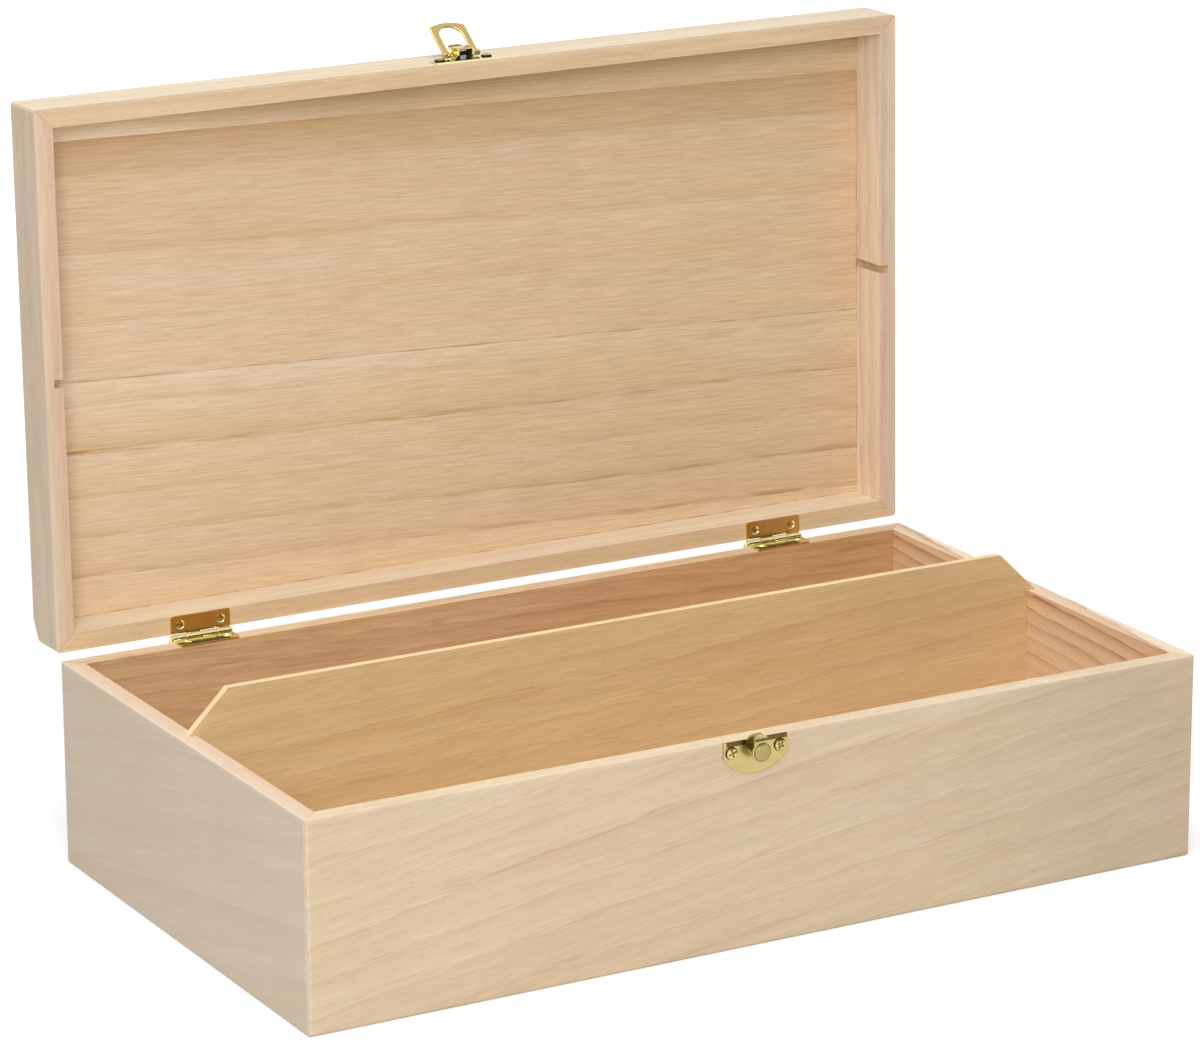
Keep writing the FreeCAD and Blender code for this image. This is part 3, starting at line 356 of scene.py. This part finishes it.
tree.links.new(math_node(tree, "MULTIPLY", joint_breaks, spread(
    tree, off_joint, *PANEL_LINE, 1.0, 0.0)), joint_out.inputs["Panel Joint"])

EDGE_WEAR_AND_HIGHLIGHT_TONE, JOINT_TONE, GLUE_TONE = srgb(246, 232, 208), srgb(142, 96, 56), srgb(150, 108, 66)
LONG_WALL = Matrix(((1, 0, 0), (0, 0, 1), (0, -1, 0)))
END_WALL = Matrix(((0, 1, 0), (0, 0, 1), (1, 0, 0)))
LYING = Matrix.Identity(3)
PLAIN = (1.0, 1.0, 1.0)


def dress(node_name, material):
    """Puts a material in every slot of a carried-over solid."""
    holder = nodes[node_name]
    if not holder.material_slots:
        holder.data.materials.append(material)
    for slot in holder.material_slots:
        slot.material = material


def wood_material(name, axes, pith, early, late, blush, spacing, tilt=0.0, rings=0.5, lines=0.5,
                  wander=0.01, fray=1.0, pink=0.3, warm=0.7, fibres=0.2, strands=1.0, pores=0.3,
                  rim=TRAY_RIM, shut=None, mitred=0.45, panelled=0.0, seams=(), inside=PLAIN,
                  on_rim=PLAIN, inner_rim=PLAIN, core=None, painted_light_falloff=None, seam_shadow_and_sapwood=None):
    """Unvarnished wood: axes turn the object's frame into (along, up, through) the board, pith
    shifts it so that the tree's pith runs along the first axis, tilt slants the grain. Three colours
    tint the inside faces, the rim and the rim's inner half; on the tray's walls the first is painted
    shade and the second a painted highlight, and the third is the wood's own tone. The painted light
    falloff is a range of x with the tints at its two ends, painted light and shade that change along
    the board; it shows on neither the rim nor the lid's top. The seam tint is a seam, a reach and a
    tint that fades from the seam, a painted shadow below the panel's front seam and the paler sapwood
    of the rear board by its seam; core is half a board's thickness and the tint of the edges cut
    across it."""
    material = bpy.data.materials.new(name)
    material.use_nodes = True
    tree = material.node_tree
    tree.nodes.clear()
    place = add_node(tree, "ShaderNodeTexCoord").outputs["Object"]
    if shut is not None:
        place = shut(tree, place)
    turned = Matrix.Rotation(radians(tilt), 3, "Z") @ axes
    board = add_node(tree, "ShaderNodeMapping", {
        "Vector": place, "Location": pith, "Rotation": turned.to_euler()})
    wood = add_node(tree, "ShaderNodeGroup", {
        "Vector": board.outputs[0], "Early Wood": srgb(*early), "Late Wood": srgb(*late),
        "Blush": srgb(*blush), "Ring Spacing": spacing, "Ring Strength": rings,
        "Line Strength": lines, "Wander": wander, "Fray": fray, "Blush Strength": pink,
        "Warmth": warm, "Fibre Strength": fibres, "Strand Strength": strands,
        "Pore Strength": pores}, node_tree=sawn_wood)
    spots = add_node(tree, "ShaderNodeGroup", {
        "Vector": place, "Rim Height": rim}, node_tree=frame_places)
    tone = wood.outputs["Color"]
    # Tints by place: on the tray, painted shade darkens the inside faces and a painted highlight pales the
    # rim; the inner rim's tint is the wood's own tone.
    for spot, tint in (("Inside", inside), ("Rim", on_rim), ("Inner Rim", inner_rim)):
        if tint != PLAIN:
            tone = mix_colours(tree, spots.outputs[spot], tone, (*tint, 1.0), "MULTIPLY")
    parts = add_node(tree, "ShaderNodeSeparateXYZ", {0: place})
    beneath = math_node(tree, "LESS_THAN", parts.outputs["Z"], PANEL_MIDDLE)
    # Painted light and shade that change along the board, kept off the rim and the lid's top.
    if painted_light_falloff is not None:
        reach, left_tint, right_tint = painted_light_falloff
        tint = mix_colours(tree, spread(tree, parts.outputs["X"], *reach), (*left_tint, 1.0),
                           (*right_tint, 1.0))
        off_rim = math_node(tree, "SUBTRACT", beneath, spots.outputs["Rim"], clamp=True)
        tone = mix_colours(tree, off_rim, tone, tint, "MULTIPLY")
    # Painted shadow below the panel's front seam, and the rear board's paler sapwood by its seam, fading
    # over the reach on the inner face.
    if seam_shadow_and_sapwood is not None:
        seam, reach, tint = seam_shadow_and_sapwood
        near = math_node(tree, "MULTIPLY_ADD", behind_seam(tree, place, seam), -1 / reach, 1.0,
                         clamp=True)
        shade = math_node(tree, "MULTIPLY", math_node(tree, "POWER", near, 1.7), beneath)
        tone = mix_colours(tree, shade, tone, (*tint, 1.0), "MULTIPLY")
    # A pale line along the eased outer edges: partly the paler sanded wood, partly a painted highlight.
    tone = mix_colours(tree, math_node(tree, "MULTIPLY", spots.outputs["Edge"], 0.16), tone, EDGE_WEAR_AND_HIGHLIGHT_TONE)
    for spot, depth in (("Mitre", mitred), ("Panel Joint", panelled)):
        if depth:
            tone = mix_colours(tree, math_node(tree, "MULTIPLY", spots.outputs[spot], depth),
                               tone, JOINT_TONE)
    if core is not None:
        half_thick, core_tint = core
        across = math_node(tree, "ABSOLUTE", parts.outputs["Y"])
        cut_edge = math_node(tree, "LESS_THAN", across, half_thick)
        tone = mix_colours(tree, cut_edge, tone, (*core_tint, 1.0), "MULTIPLY")
    for seam in seams:
        tone = mix_colours(tree, glue_line(tree, place, seam), tone, GLUE_TONE)
    bump = add_node(tree, "ShaderNodeBump", {
        "Strength": 0.35, "Distance": 0.00012, "Height": wood.outputs["Height"]})
    surface = add_node(tree, "ShaderNodeBsdfPrincipled", {
        "Base Color": tone, "Roughness": wood.outputs["Roughness"], "Normal": bump.outputs[0],
        "Specular IOR Level": 0.3, "Sheen Weight": 0.1})
    add_node(tree, "ShaderNodeOutputMaterial", {"Surface": surface.outputs[0]})
    return material


# On the tray's walls the inside tints are painted shade, the rim tints a painted highlight, and the front
# and rear walls' falloffs paint the light growing dimmer towards the right end.
dress("tray_front_wall", wood_material(
    "front_wall_wood", LONG_WALL, (1.3, 0.21, 0.03), (223, 203, 175), (204, 162, 123), (221, 190, 157),
    0.0115, tilt=-8.0, rings=0.32, lines=0.40, wander=0.012, warm=0.5, on_rim=(1.02, 1.03, 1.04),
    painted_light_falloff=((0.05, 0.16), PLAIN, (0.89, 0.89, 0.89))))
dress("tray_rear_wall", wood_material(
    "rear_wall_wood", LONG_WALL, (5.1, 0.34, 0.05), (222, 194, 160), (190, 150, 112), (214, 176, 142),
    0.007, tilt=2.0, rings=0.4, lines=0.4, wander=0.006, fibres=0.36, inside=(0.89, 0.80, 0.70),
    painted_light_falloff=((-0.08, 0.10), (1.03, 1.04, 1.07), (0.99, 0.93, 0.87))))
dress("tray_left_wall", wood_material(
    "left_wall_wood", END_WALL, (2.4, 0.5, 0.4), (211, 195, 174), (192, 171, 146), (216, 192, 171),
    0.017, tilt=12.0, rings=0.2, lines=0.1, wander=0.02, pink=0.25, warm=0.4, fibres=0.12, pores=0.08,
    on_rim=(1.10, 1.07, 1.07), inner_rim=(1.0, 0.92, 0.89)))
dress("tray_right_wall", wood_material(
    "right_wall_wood", END_WALL, (7.7, 0.3, 0.05), (232, 209, 178), (164, 102, 62), (220, 178, 142),
    0.0046, tilt=-3.0, rings=0.7, lines=1.0, wander=0.006, fray=0.4, inside=(0.95, 0.86, 0.81),
    on_rim=(1.06, 1.17, 1.32), inner_rim=(0.97, 0.91, 0.87)))
dress("tray_floor", wood_material(
    "tray_floor_wood", LYING, (3.2, 0.4, 0.1), (224, 202, 168), (200, 168, 128), (220, 190, 154),
    0.014, tilt=1.0, rings=0.4, mitred=0.0))

# --- The divider --------------------------------------------------------------------------------------
# One thin board of the same wood, its grain along its length, dropped without glue into grooves in
# the end walls. Its two upper corners are sawn off, and its edges are paler than its faces.

dress("divider", wood_material(
    "divider_wood", LONG_WALL, (9.4, 0.3, 0.04), (223, 192, 145), (200, 150, 98), (215, 174, 128),
    0.010, tilt=-3.0, rings=0.30, lines=0.25, wander=0.014, pink=0.45, warm=0.4, fibres=0.26,
    strands=0.6, mitred=0.0, core=(0.00145, (1.17, 1.26, 1.45))))

# --- The lid: four mitred rails round a panel of three boards ----------------------------------------
# The rails are rebated for the panel, which is glued up from three boards with slanting joints. The
# patterns are laid out on the shut lid, so its coordinates are turned back about the hinge line.

HINGE_Y, HINGE_Z, OPEN_ANGLE = 0.10155, 0.07785, radians(91.2)
LID_RIM, PANEL_HALF = 0.0787, 0.1765


def shut_lid(tree, place):
    """Object coordinates turned about the hinge line into those of the shut lid."""
    centred = add_node(tree, "ShaderNodeVectorMath", {0: place, 1: (0.0, HINGE_Y, HINGE_Z)},
                       operation="SUBTRACT")
    return add_node(tree, "ShaderNodeMapping", {
        "Vector": centred.outputs[0], "Rotation": (OPEN_ANGLE, 0.0, 0.0),
        "Location": (0.0, HINGE_Y, HINGE_Z)}).outputs[0]


# A seam: its y at the panel's left and right ends, and its strength.
FRONT_SEAM, REAR_SEAM = (-0.0844, -0.0763, 0.25), (0.0040, 0.0188, 0.60)
GLUE_LINE = (0.00008, 0.00040)


def behind_seam(tree, place, seam):
    """How far a point of the panel lies behind a seam that runs from the left rail to the right."""
    left_end, right_end, _ = seam
    parts = add_node(tree, "ShaderNodeSeparateXYZ", {0: place})
    slope = (right_end - left_end) / (2 * PANEL_HALF)
    line_y = math_node(tree, "MULTIPLY_ADD", parts.outputs["X"], slope, (left_end + right_end) / 2)
    return math_node(tree, "SUBTRACT", parts.outputs["Y"], line_y)


def glue_line(tree, place, seam):
    """A broken hair line between two of the panel's boards."""
    strength = seam[2]
    away = math_node(tree, "ABSOLUTE", behind_seam(tree, place, seam))
    gap_noise = stretched_noise(tree, place, 60.0, 60.0, 2.0)
    gaps = spread(tree, gap_noise, 0.35, 0.65, 0.2 * strength, strength)
    return math_node(tree, "MULTIPLY", gaps, spread(tree, away, *GLUE_LINE, 1.0, 0.0))


for name, values in {
    "lid_front_rail": (LONG_WALL, (4.4, 0.12, 0.05), (227, 211, 186), (204, 176, 146), (222, 196, 168),
                       0.006, 1.0, 0.4, (1.12, 1.12, 1.08), (0.97, 0.85, 0.75), PLAIN),
    "lid_rear_rail": (LONG_WALL, (6.1, 0.15, 0.02), (226, 200, 164), (204, 168, 124), (222, 184, 150),
                      0.007, -1.0, 0.4, (1.0, 1.08, 1.26), PLAIN, PLAIN),
    "lid_left_rail": (END_WALL, (8.8, 0.2, 0.02), (213, 194, 170), (198, 170, 144), (214, 182, 162),
                      0.005, 1.0, 0.4, PLAIN, (1.11, 1.08, 1.08), (0.97, 0.90, 0.90)),
    "lid_right_rail": (END_WALL, (11.3, 0.1, 0.02), (228, 204, 174), (202, 162, 132), (226, 186, 160),
                       0.005, 1.0, 0.6, (1.10, 1.20, 1.40), (0.99, 1.02, 1.12), (0.97, 0.92, 0.92)),
}.items():
    axes, pith, early, late, blush, spacing, tilt, rings, inside, on_rim, inner_rim = values
    dress(name, wood_material(name + "_wood", axes, pith, early, late, blush, spacing, tilt=tilt,
                              rings=rings, wander=0.004, pink=0.4, rim=LID_RIM, shut=shut_lid,
                              inside=inside, on_rim=on_rim, inner_rim=inner_rim))

# On the panel's inner face, each board's falloff paints light and shade along it; the middle board's seam
# tint is a painted shadow below the front seam, the rear board's its paler sapwood.
for name, values in {
    "lid_front_board": (
        (12.2, 0.20, 0.03), (219, 194, 164), (196, 162, 124), (216, 186, 154), 0.011, 0.25, 0.8,
        (FRONT_SEAM,), None, ((-0.17, -0.03), (1.36, 1.48, 1.62), (0.98, 0.96, 0.91))),
    "lid_middle_board": (
        (15.7, 0.16, 0.05), (222, 193, 161), (198, 160, 112), (217, 182, 148), 0.0175, 0.25, 0.45,
        (FRONT_SEAM, REAR_SEAM), (FRONT_SEAM, 0.024, (0.73, 0.66, 0.54)),
        ((-0.17, 0.17), (1.09, 1.12, 1.20), (1.05, 1.07, 1.07))),
    "lid_rear_board": (
        (17.9, 0.22, 0.04), (227, 199, 167), (197, 157, 104), (220, 187, 152), 0.0145, 0.52, 1.6,
        (REAR_SEAM,), (REAR_SEAM, 0.020, (1.05, 1.12, 1.22)),
        ((-0.17, 0.17), (1.06, 1.08, 1.12), (0.98, 0.99, 0.97))),
}.items():
    pith, early, late, blush, spacing, rings, lines, seams, seam_shadow_and_sapwood, painted_light_falloff = values
    dress(name, wood_material(name + "_wood", LYING, pith, early, late, blush, spacing, tilt=-1.6,
                              rings=rings, lines=lines, wander=0.006, fray=0.22, fibres=0.36,
                              strands=0.35, pores=0.25, rim=LID_RIM, shut=shut_lid, mitred=0.0,
                              panelled=0.6, seams=seams, painted_light_falloff=painted_light_falloff, seam_shadow_and_sapwood=seam_shadow_and_sapwood))

# --- Hinges, clasp and pins ---------------------------------------------------------------------------
# Thin sheet brass, blanked, folded and polished bright, on turned pins. The clasp is plated a paler,
# greener tone than the hinges, and painted shade makes its lever dark and dull inside the fold.

polished_brass, brass_in, brass_out = new_group("polished_brass", {
    "Vector": (VECTOR, None),
    "Bright": (COLOUR, (0.85, 0.7, 0.3, 1.0)),
    "Tarnish": (COLOUR, (0.6, 0.42, 0.15, 1.0)),
    "Tarnish Strength": (NUMBER, 0.3),
    "Roughness": (NUMBER, 0.14),
}, {"Color": COLOUR, "Roughness": NUMBER, "Height": NUMBER})
tree = polished_brass
place = brass_in.outputs["Vector"]
cloud = stretched_noise(tree, place, 260.0, 260.0, 3.0)
scratch = stretched_noise(tree, place, 400.0, 9000.0, 1.0)
clouded = math_node(tree, "MULTIPLY", spread(tree, cloud, 0.4, 0.75), brass_in.outputs["Tarnish Strength"])
tree.links.new(mix_colours(tree, clouded, brass_in.outputs["Bright"], brass_in.outputs["Tarnish"]),
               brass_out.inputs["Color"])
rough = math_node(tree, "ADD", brass_in.outputs["Roughness"], math_node(
    tree, "ADD", math_node(tree, "MULTIPLY_ADD", cloud, 0.10, -0.05),
    math_node(tree, "MULTIPLY_ADD", scratch, 0.06, -0.03)))
tree.links.new(rough, brass_out.inputs["Roughness"])
tree.links.new(math_node(tree, "MULTIPLY_ADD", cloud, 3.0, scratch), brass_out.inputs["Height"])

# The almost black tone is painted shade and dark reflection in the brass's hollows and folds.
SPOT_BLUR, PAINTED_SHADE_TONE = 0.0001, srgb(48, 34, 18)


def inside_box(tree, parts, box):
    """1 inside a box given as a range on each of its axes, with soft edges, and 0 outside it."""
    shares = []
    for axis, (low, high) in box.items():
        value = parts.outputs[axis]
        shares.append(spread(tree, value, low - SPOT_BLUR, low + SPOT_BLUR))
        shares.append(spread(tree, value, high - SPOT_BLUR, high + SPOT_BLUR, 1.0, 0.0))
    return product(tree, *shares)


def brass_material(name, bright, tarnish, tarnished=0.3, roughness=0.14, painted_reflections=(), painted_shade_box=None,
                   painted_shade_attribute=None):
    """Polished brass with faint clouds and fine scratches. Each painted dark reflection is a colour
    and a box; the box of painted shade is matt and almost black. Instead of it, a mesh may name its
    own attribute of painted shade."""
    material = bpy.data.materials.new(name)
    material.use_nodes = True
    tree = material.node_tree
    tree.nodes.clear()
    place = add_node(tree, "ShaderNodeTexCoord").outputs["Object"]
    metal = add_node(tree, "ShaderNodeGroup", {
        "Vector": place, "Bright": srgb(*bright), "Tarnish": srgb(*tarnish),
        "Tarnish Strength": tarnished, "Roughness": roughness}, node_tree=polished_brass)
    tone = metal.outputs["Color"]
    parts = add_node(tree, "ShaderNodeSeparateXYZ", {0: place})
    for colour, box in painted_reflections:
        tone = mix_colours(tree, inside_box(tree, parts, box), tone, srgb(*colour))
    painted_shade = None
    if painted_shade_box is not None:
        painted_shade = inside_box(tree, parts, painted_shade_box)
    elif painted_shade_attribute is not None:
        painted_shade = add_node(tree, "ShaderNodeAttribute", attribute_name=painted_shade_attribute).outputs["Fac"]
    surface_inputs = {"Base Color": tone, "Metallic": 1.0}
    if painted_shade is not None:
        surface_inputs = {"Base Color": mix_colours(tree, painted_shade, tone, PAINTED_SHADE_TONE),
                  "Metallic": math_node(tree, "MULTIPLY_ADD", painted_shade, -0.9, 1.0),
                  "Specular IOR Level": math_node(tree, "MULTIPLY_ADD", painted_shade, -0.4, 0.5)}
    bump = add_node(tree, "ShaderNodeBump", {
        "Strength": 0.12, "Distance": 0.00003, "Height": metal.outputs["Height"]})
    surface = add_node(tree, "ShaderNodeBsdfPrincipled", {
        "Roughness": metal.outputs["Roughness"], "Normal": bump.outputs[0], **surface_inputs})
    add_node(tree, "ShaderNodeOutputMaterial", {"Surface": surface.outputs[0]})
    return material


EASING = 0.0002


def eased_copy(node_name, body, material):
    """A carried-over brass solid with its stamped edges rounded, standing for the sharp one."""
    mesh = nodes[node_name].data.copy()
    mesh.materials.clear()
    mesh.materials.append(material)
    work = bmesh.new()
    work.from_mesh(mesh)
    bmesh.ops.remove_doubles(work, verts=work.verts, dist=1e-6)
    bmesh.ops.dissolve_limit(work, angle_limit=radians(0.5), verts=work.verts, edges=work.edges)
    work.to_mesh(mesh)
    work.free()
    mesh.shade_smooth()
    piece = bpy.data.objects.new(node_name + "_eased", mesh)
    bpy.context.scene.collection.objects.link(piece)
    bevel = piece.modifiers.new("eased_edges", "BEVEL")
    bevel.width = EASING
    bevel.segments = 2
    bevel.limit_method = "ANGLE"
    bevel.angle_limit = radians(30)
    flat_faces = piece.modifiers.new("flat_faces", "WEIGHTED_NORMAL")
    flat_faces.weight = 100
    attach(piece, body)
    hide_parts(node_name)


hinge_brass = brass_material("hinge_brass", (240, 224, 164), (206, 174, 104))
CLASP_X, LEVER_FLOOR = -0.0065, 0.28385
# Painted shade: inside the lever's fold, on the lever and the rivet there, the brass is almost black and
# matt.
painted_shade_in_fold = {"X": (CLASP_X - 0.00272, CLASP_X + 0.00272), "Z": (0.2802, LEVER_FLOOR)}
lever_brass = brass_material("lever_brass", (218, 196, 122), (188, 158, 82), painted_shade_box=painted_shade_in_fold)
# Painted shadow: the clasp plate is almost black and matt under the lever.
painted_shadow_under_lever = {"X": (CLASP_X - 0.0035, CLASP_X + 0.0035), "Y": (0.1070, 0.1180), "Z": (0.27, 0.29)}
clasp_plate_brass = brass_material("clasp_plate_brass", (222, 214, 160), (196, 176, 106),
                                   painted_shade_box=painted_shadow_under_lever)
# A painted dark reflection runs along the catch's top, on both sides of the knob's neck.
PAINTED_REFLECTION_TONE, PAINTED_REFLECTION_PLACE = (106, 88, 44), {"Y": (-0.1012, -0.0995), "Z": (0.0754, 0.0780)}
left_painted_reflection = {"X": (CLASP_X - 0.0118, CLASP_X - 0.0040), **PAINTED_REFLECTION_PLACE}
right_painted_reflection = {"X": (CLASP_X + 0.0036, CLASP_X + 0.0126), **PAINTED_REFLECTION_PLACE}
catch_brass = brass_material("catch_brass", (198, 182, 123), (176, 154, 88), roughness=0.30,
                             painted_reflections=((PAINTED_REFLECTION_TONE, left_painted_reflection), (PAINTED_REFLECTION_TONE, right_painted_reflection)))
loop_brass = brass_material("loop_brass", (204, 180, 116), (188, 160, 92))
for name, (body, metal) in {
    "catch_plate": ("tray", catch_brass),
    "clasp_plate": ("lid", clasp_plate_brass),
    "clasp_lever": ("clasp_lever", lever_brass),
    "clasp_loop": ("clasp_loop", loop_brass),
}.items():
    eased_copy(name, body, metal)
for side in ("left", "right"):
    eased_copy(side + "_hinge_tray_leaf", "tray", hinge_brass)
    eased_copy(side + "_hinge_lid_leaf", "lid", hinge_brass)
    dress(side + "_hinge_pin", hinge_brass)
dress("clasp_rivet", lever_brass)
dress("clasp_loop_pin", lever_brass)

# --- The screws and the face of the knob --------------------------------------------------------------
# Small brass-plated wood screws with a cross recess, in pairs, each turned as far as it happened to
# go home. Those of the clasp have low domed heads; those of the hinges are sunk level with the leaf.
# The knob's round face is a shallow dome.


def turned_faces(rows, columns):
    """Faces over a grid whose rows are rings, from one pole to the other, and whose columns close."""
    here = np.arange(rows * columns).reshape(rows, columns)
    beside = np.roll(here, -1, axis=1)
    return np.stack((here[:-1], here[1:], beside[1:], beside[:-1]), axis=-1).reshape(-1, 4)


def placed(x, y, height, seat, across, along, outward):
    """Points given in a seat's own directions, taken into the frame."""
    return (np.array(seat) + x[..., None] * np.array(across) + y[..., None] * np.array(along)
            + height[..., None] * np.array(outward)).reshape(-1, 3)


def turned_piece(name, body, points, faces, painted_shade, metal):
    """A turned solid of brass on a body: rings of no radius closed to poles, and its own painted shade."""
    mesh = bpy.data.meshes.new(name)
    mesh.from_pydata(points.tolist(), [], faces.tolist())
    mesh.attributes.new("painted_shade", "FLOAT", "POINT").data.foreach_set("value", painted_shade)
    work = bmesh.new()
    work.from_mesh(mesh)
    bmesh.ops.remove_doubles(work, verts=work.verts, dist=1e-7)
    bmesh.ops.recalc_face_normals(work, faces=work.faces)
    work.to_mesh(mesh)
    work.free()
    mesh.shade_smooth()
    mesh.set_sharp_from_angle(angle=radians(40))
    mesh.materials.append(metal)
    piece = bpy.data.objects.new(name, mesh)
    bpy.context.scene.collection.objects.link(piece)
    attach(piece, body)
    return piece


screw_brass = brass_material("screw_brass", (212, 194, 126), (156, 130, 70), tarnished=0.5,
                             painted_shade_attribute="painted_shade")
SCREW_RINGS, SCREW_SIDES, SHANK_RADIUS, POINT_LENGTH = 26, 80, 0.0008, 0.0016
RECESS_DEPTH, ARM_HALF_WIDTH, ARM_REACH, ARM_BLUR = 0.29, 0.14, 0.58, 0.075
# A screw: its head's radius, then the heights of the head's rim and top, its foot, the neck and the
# end above the face of the plate or leaf, in metres.
CATCH_SCREW = (0.00236, 0.00030, 0.00095, 0.0, 0.0, -0.0063)
CLASP_SCREW = (0.00200, 0.00030, 0.00095, 0.0, 0.0, -0.0063)
HINGE_SCREW = (0.00146, -0.00032, -0.00006, -0.00032, -0.0008, -0.0088)


def screw_surface(screw, turn):
    """x, y, height and painted shade of one turned screw.

    Round the axis at angle t, the head's height at radius r is
    rim + (top - rim) * sqrt(1 - (r / R)^2), less the depth of a cross recess, which falls evenly
    to nothing over a narrow blur at the arms' half width and reach; these four are shares of R.
    Below the rim come the foot of the head, the neck, the shank and the point. Painted shade lies in
    the recess, and painted shade and dark reflection round the edge of the head.
    """
    head_radius, rim, top, foot, neck, end = screw
    radius = np.concatenate((np.linspace(0, head_radius, SCREW_RINGS),
                             (head_radius, SHANK_RADIUS, SHANK_RADIUS, 0)))
    angle = np.linspace(0, 2 * np.pi, SCREW_SIDES, endpoint=False)
    r, t = np.meshgrid(radius, angle, indexing="ij")
    share = r / head_radius
    dome = rim + (top - rim) * np.sqrt(np.clip(1 - share ** 2, 0, 1))
    first, second = np.abs(share * np.cos(t)), np.abs(share * np.sin(t))
    off_arm = np.maximum(np.minimum(first, second) - ARM_HALF_WIDTH,
                         np.maximum(first, second) - ARM_REACH)
    recess = np.clip(0.5 - off_arm / ARM_BLUR, 0, 1)
    height = dome - RECESS_DEPTH * head_radius * recess
    height[-4:] = np.array((foot, neck, end + POINT_LENGTH, end))[:, None]
    # Painted shade in the cross recess, and painted shade and dark reflection round the head's edge.
    painted_shade = np.maximum(0.35 * recess, np.clip((share - 0.84) / 0.10, 0, 1))
    return r * np.cos(t + turn), r * np.sin(t + turn), height, painted_shade


def screw_pair(name, node_name, body, screw, seats, along, outward, turns):
    """Two screws as one piece, standing for the carried-over pair."""
    points, faces, painted_shade = [], [], []
    for seat, turn in zip(seats, turns):
        x, y, height, painted_shade_values = screw_surface(screw, turn)
        faces.append(turned_faces(*x.shape) + x.size * len(points))
        points.append(placed(x, y, height, seat, (1, 0, 0), along, outward))
        painted_shade.append(painted_shade_values.ravel())
    piece = turned_piece(name, body, np.concatenate(points), np.concatenate(faces),
                         np.concatenate(painted_shade), screw_brass)
    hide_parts(node_name)


# Where the shut lid's rear, top, front and underside face once it stands open.
tipped = OPEN_ANGLE - radians(90)
lid_rear, lid_top = (0.0, -sin(tipped), -cos(tipped)), (0.0, cos(tipped), -sin(tipped))
lid_front, lid_under = tuple(-part for part in lid_rear), tuple(-part for part in lid_top)


def opened(back, above):
    """y and z, on the open lid, of a place given on the shut lid from the hinge line."""
    return (HINGE_Y + back * lid_rear[1] + above * lid_top[1],
            HINGE_Z + back * lid_rear[2] + above * lid_top[2])


SCREW_SPREAD, SHEET, SCREW_DROP = 0.00975, 0.0008, 0.0039
pair_x = [CLASP_X + side * SCREW_SPREAD for side in (-1, 1)]
screw_pair("catch_screws_domed", "catch_plate_screws", "tray", CATCH_SCREW,
           [(x, -HALF_WIDTH - SHEET, TRAY_RIM - SCREW_DROP) for x in pair_x],
           (0, 0, 1), (0, -1, 0), (0.35, 1.0))
clasp_place = opened(-HALF_WIDTH - SHEET - HINGE_Y, LID_RIM + SCREW_DROP - HINGE_Z)
screw_pair("clasp_screws_domed", "clasp_plate_screws", "lid", CLASP_SCREW,
           [(x, *clasp_place) for x in pair_x], lid_top, lid_front, (0.7, 0.15))
HINGE_X, LEAF_SCREW_SPREAD, LEAF_SCREW_BACK, LEAF_LEVEL = 0.123, 0.00815, -0.00505, 0.00005
for side, direction, turns in (("left", -1, (0.5, 1.2, 0.9, 0.2)), ("right", 1, (1.1, 0.4, 0.1, 0.8))):
    pair_x = [direction * HINGE_X + end * LEAF_SCREW_SPREAD for end in (-1, 1)]
    screw_pair(side + "_hinge_tray_screws_turned", side + "_hinge_tray_screws", "tray", HINGE_SCREW,
               [(x, HINGE_Y + LEAF_SCREW_BACK, HINGE_Z - LEAF_LEVEL) for x in pair_x],
               (0, 1, 0), (0, 0, 1), turns[:2])
    screw_pair(side + "_hinge_lid_screws_turned", side + "_hinge_lid_screws", "lid", HINGE_SCREW,
               [(x, *opened(LEAF_SCREW_BACK, LEAF_LEVEL)) for x in pair_x],
               lid_front, lid_under, turns[2:])

# The knob is a darker copy of the catch's brass: a painted dark reflection on its face.
knob_brass_painted_dark = brass_material("knob_brass_painted_dark", (172, 153, 98), (136, 114, 62), tarnished=0.5,
                            painted_shade_attribute="painted_shade")
KNOB_RINGS, KNOB_SIDES, KNOB_SEAT = 24, 96, (CLASP_X, -0.1054, 0.0732)
KNOB_RADIUS, KNOB_RISE, KNOB_STEP, KNOB_ROOT = 0.0034, 0.00045, 0.00012, 0.0002


def knob_surface():
    """x, y, height and painted shade of the dome: step + rise * (1 - (r / R)^2) above the seat, with a
    root below. The painted shade thickens over the last sixth of the radius."""
    radius = np.concatenate((np.linspace(0, KNOB_RADIUS, KNOB_RINGS), (KNOB_RADIUS, 0)))
    angle = np.linspace(0, 2 * np.pi, KNOB_SIDES, endpoint=False)
    r, t = np.meshgrid(radius, angle, indexing="ij")
    share = r / KNOB_RADIUS
    height = KNOB_STEP + KNOB_RISE * (1 - share ** 2)
    height[-2:] = -KNOB_ROOT
    # Painted shade round the dome's edge.
    painted_shade = 0.6 * np.clip((share - 0.84) / 0.16, 0, 1)
    return r * np.cos(t), r * np.sin(t), height, painted_shade


x, y, height, painted_shade_values = knob_surface()
turned_piece("knob_face", "tray", placed(x, y, height, KNOB_SEAT, (1, 0, 0), (0, 0, 1), (0, -1, 0)),
             turned_faces(*x.shape), painted_shade_values.ravel(), knob_brass_painted_dark)
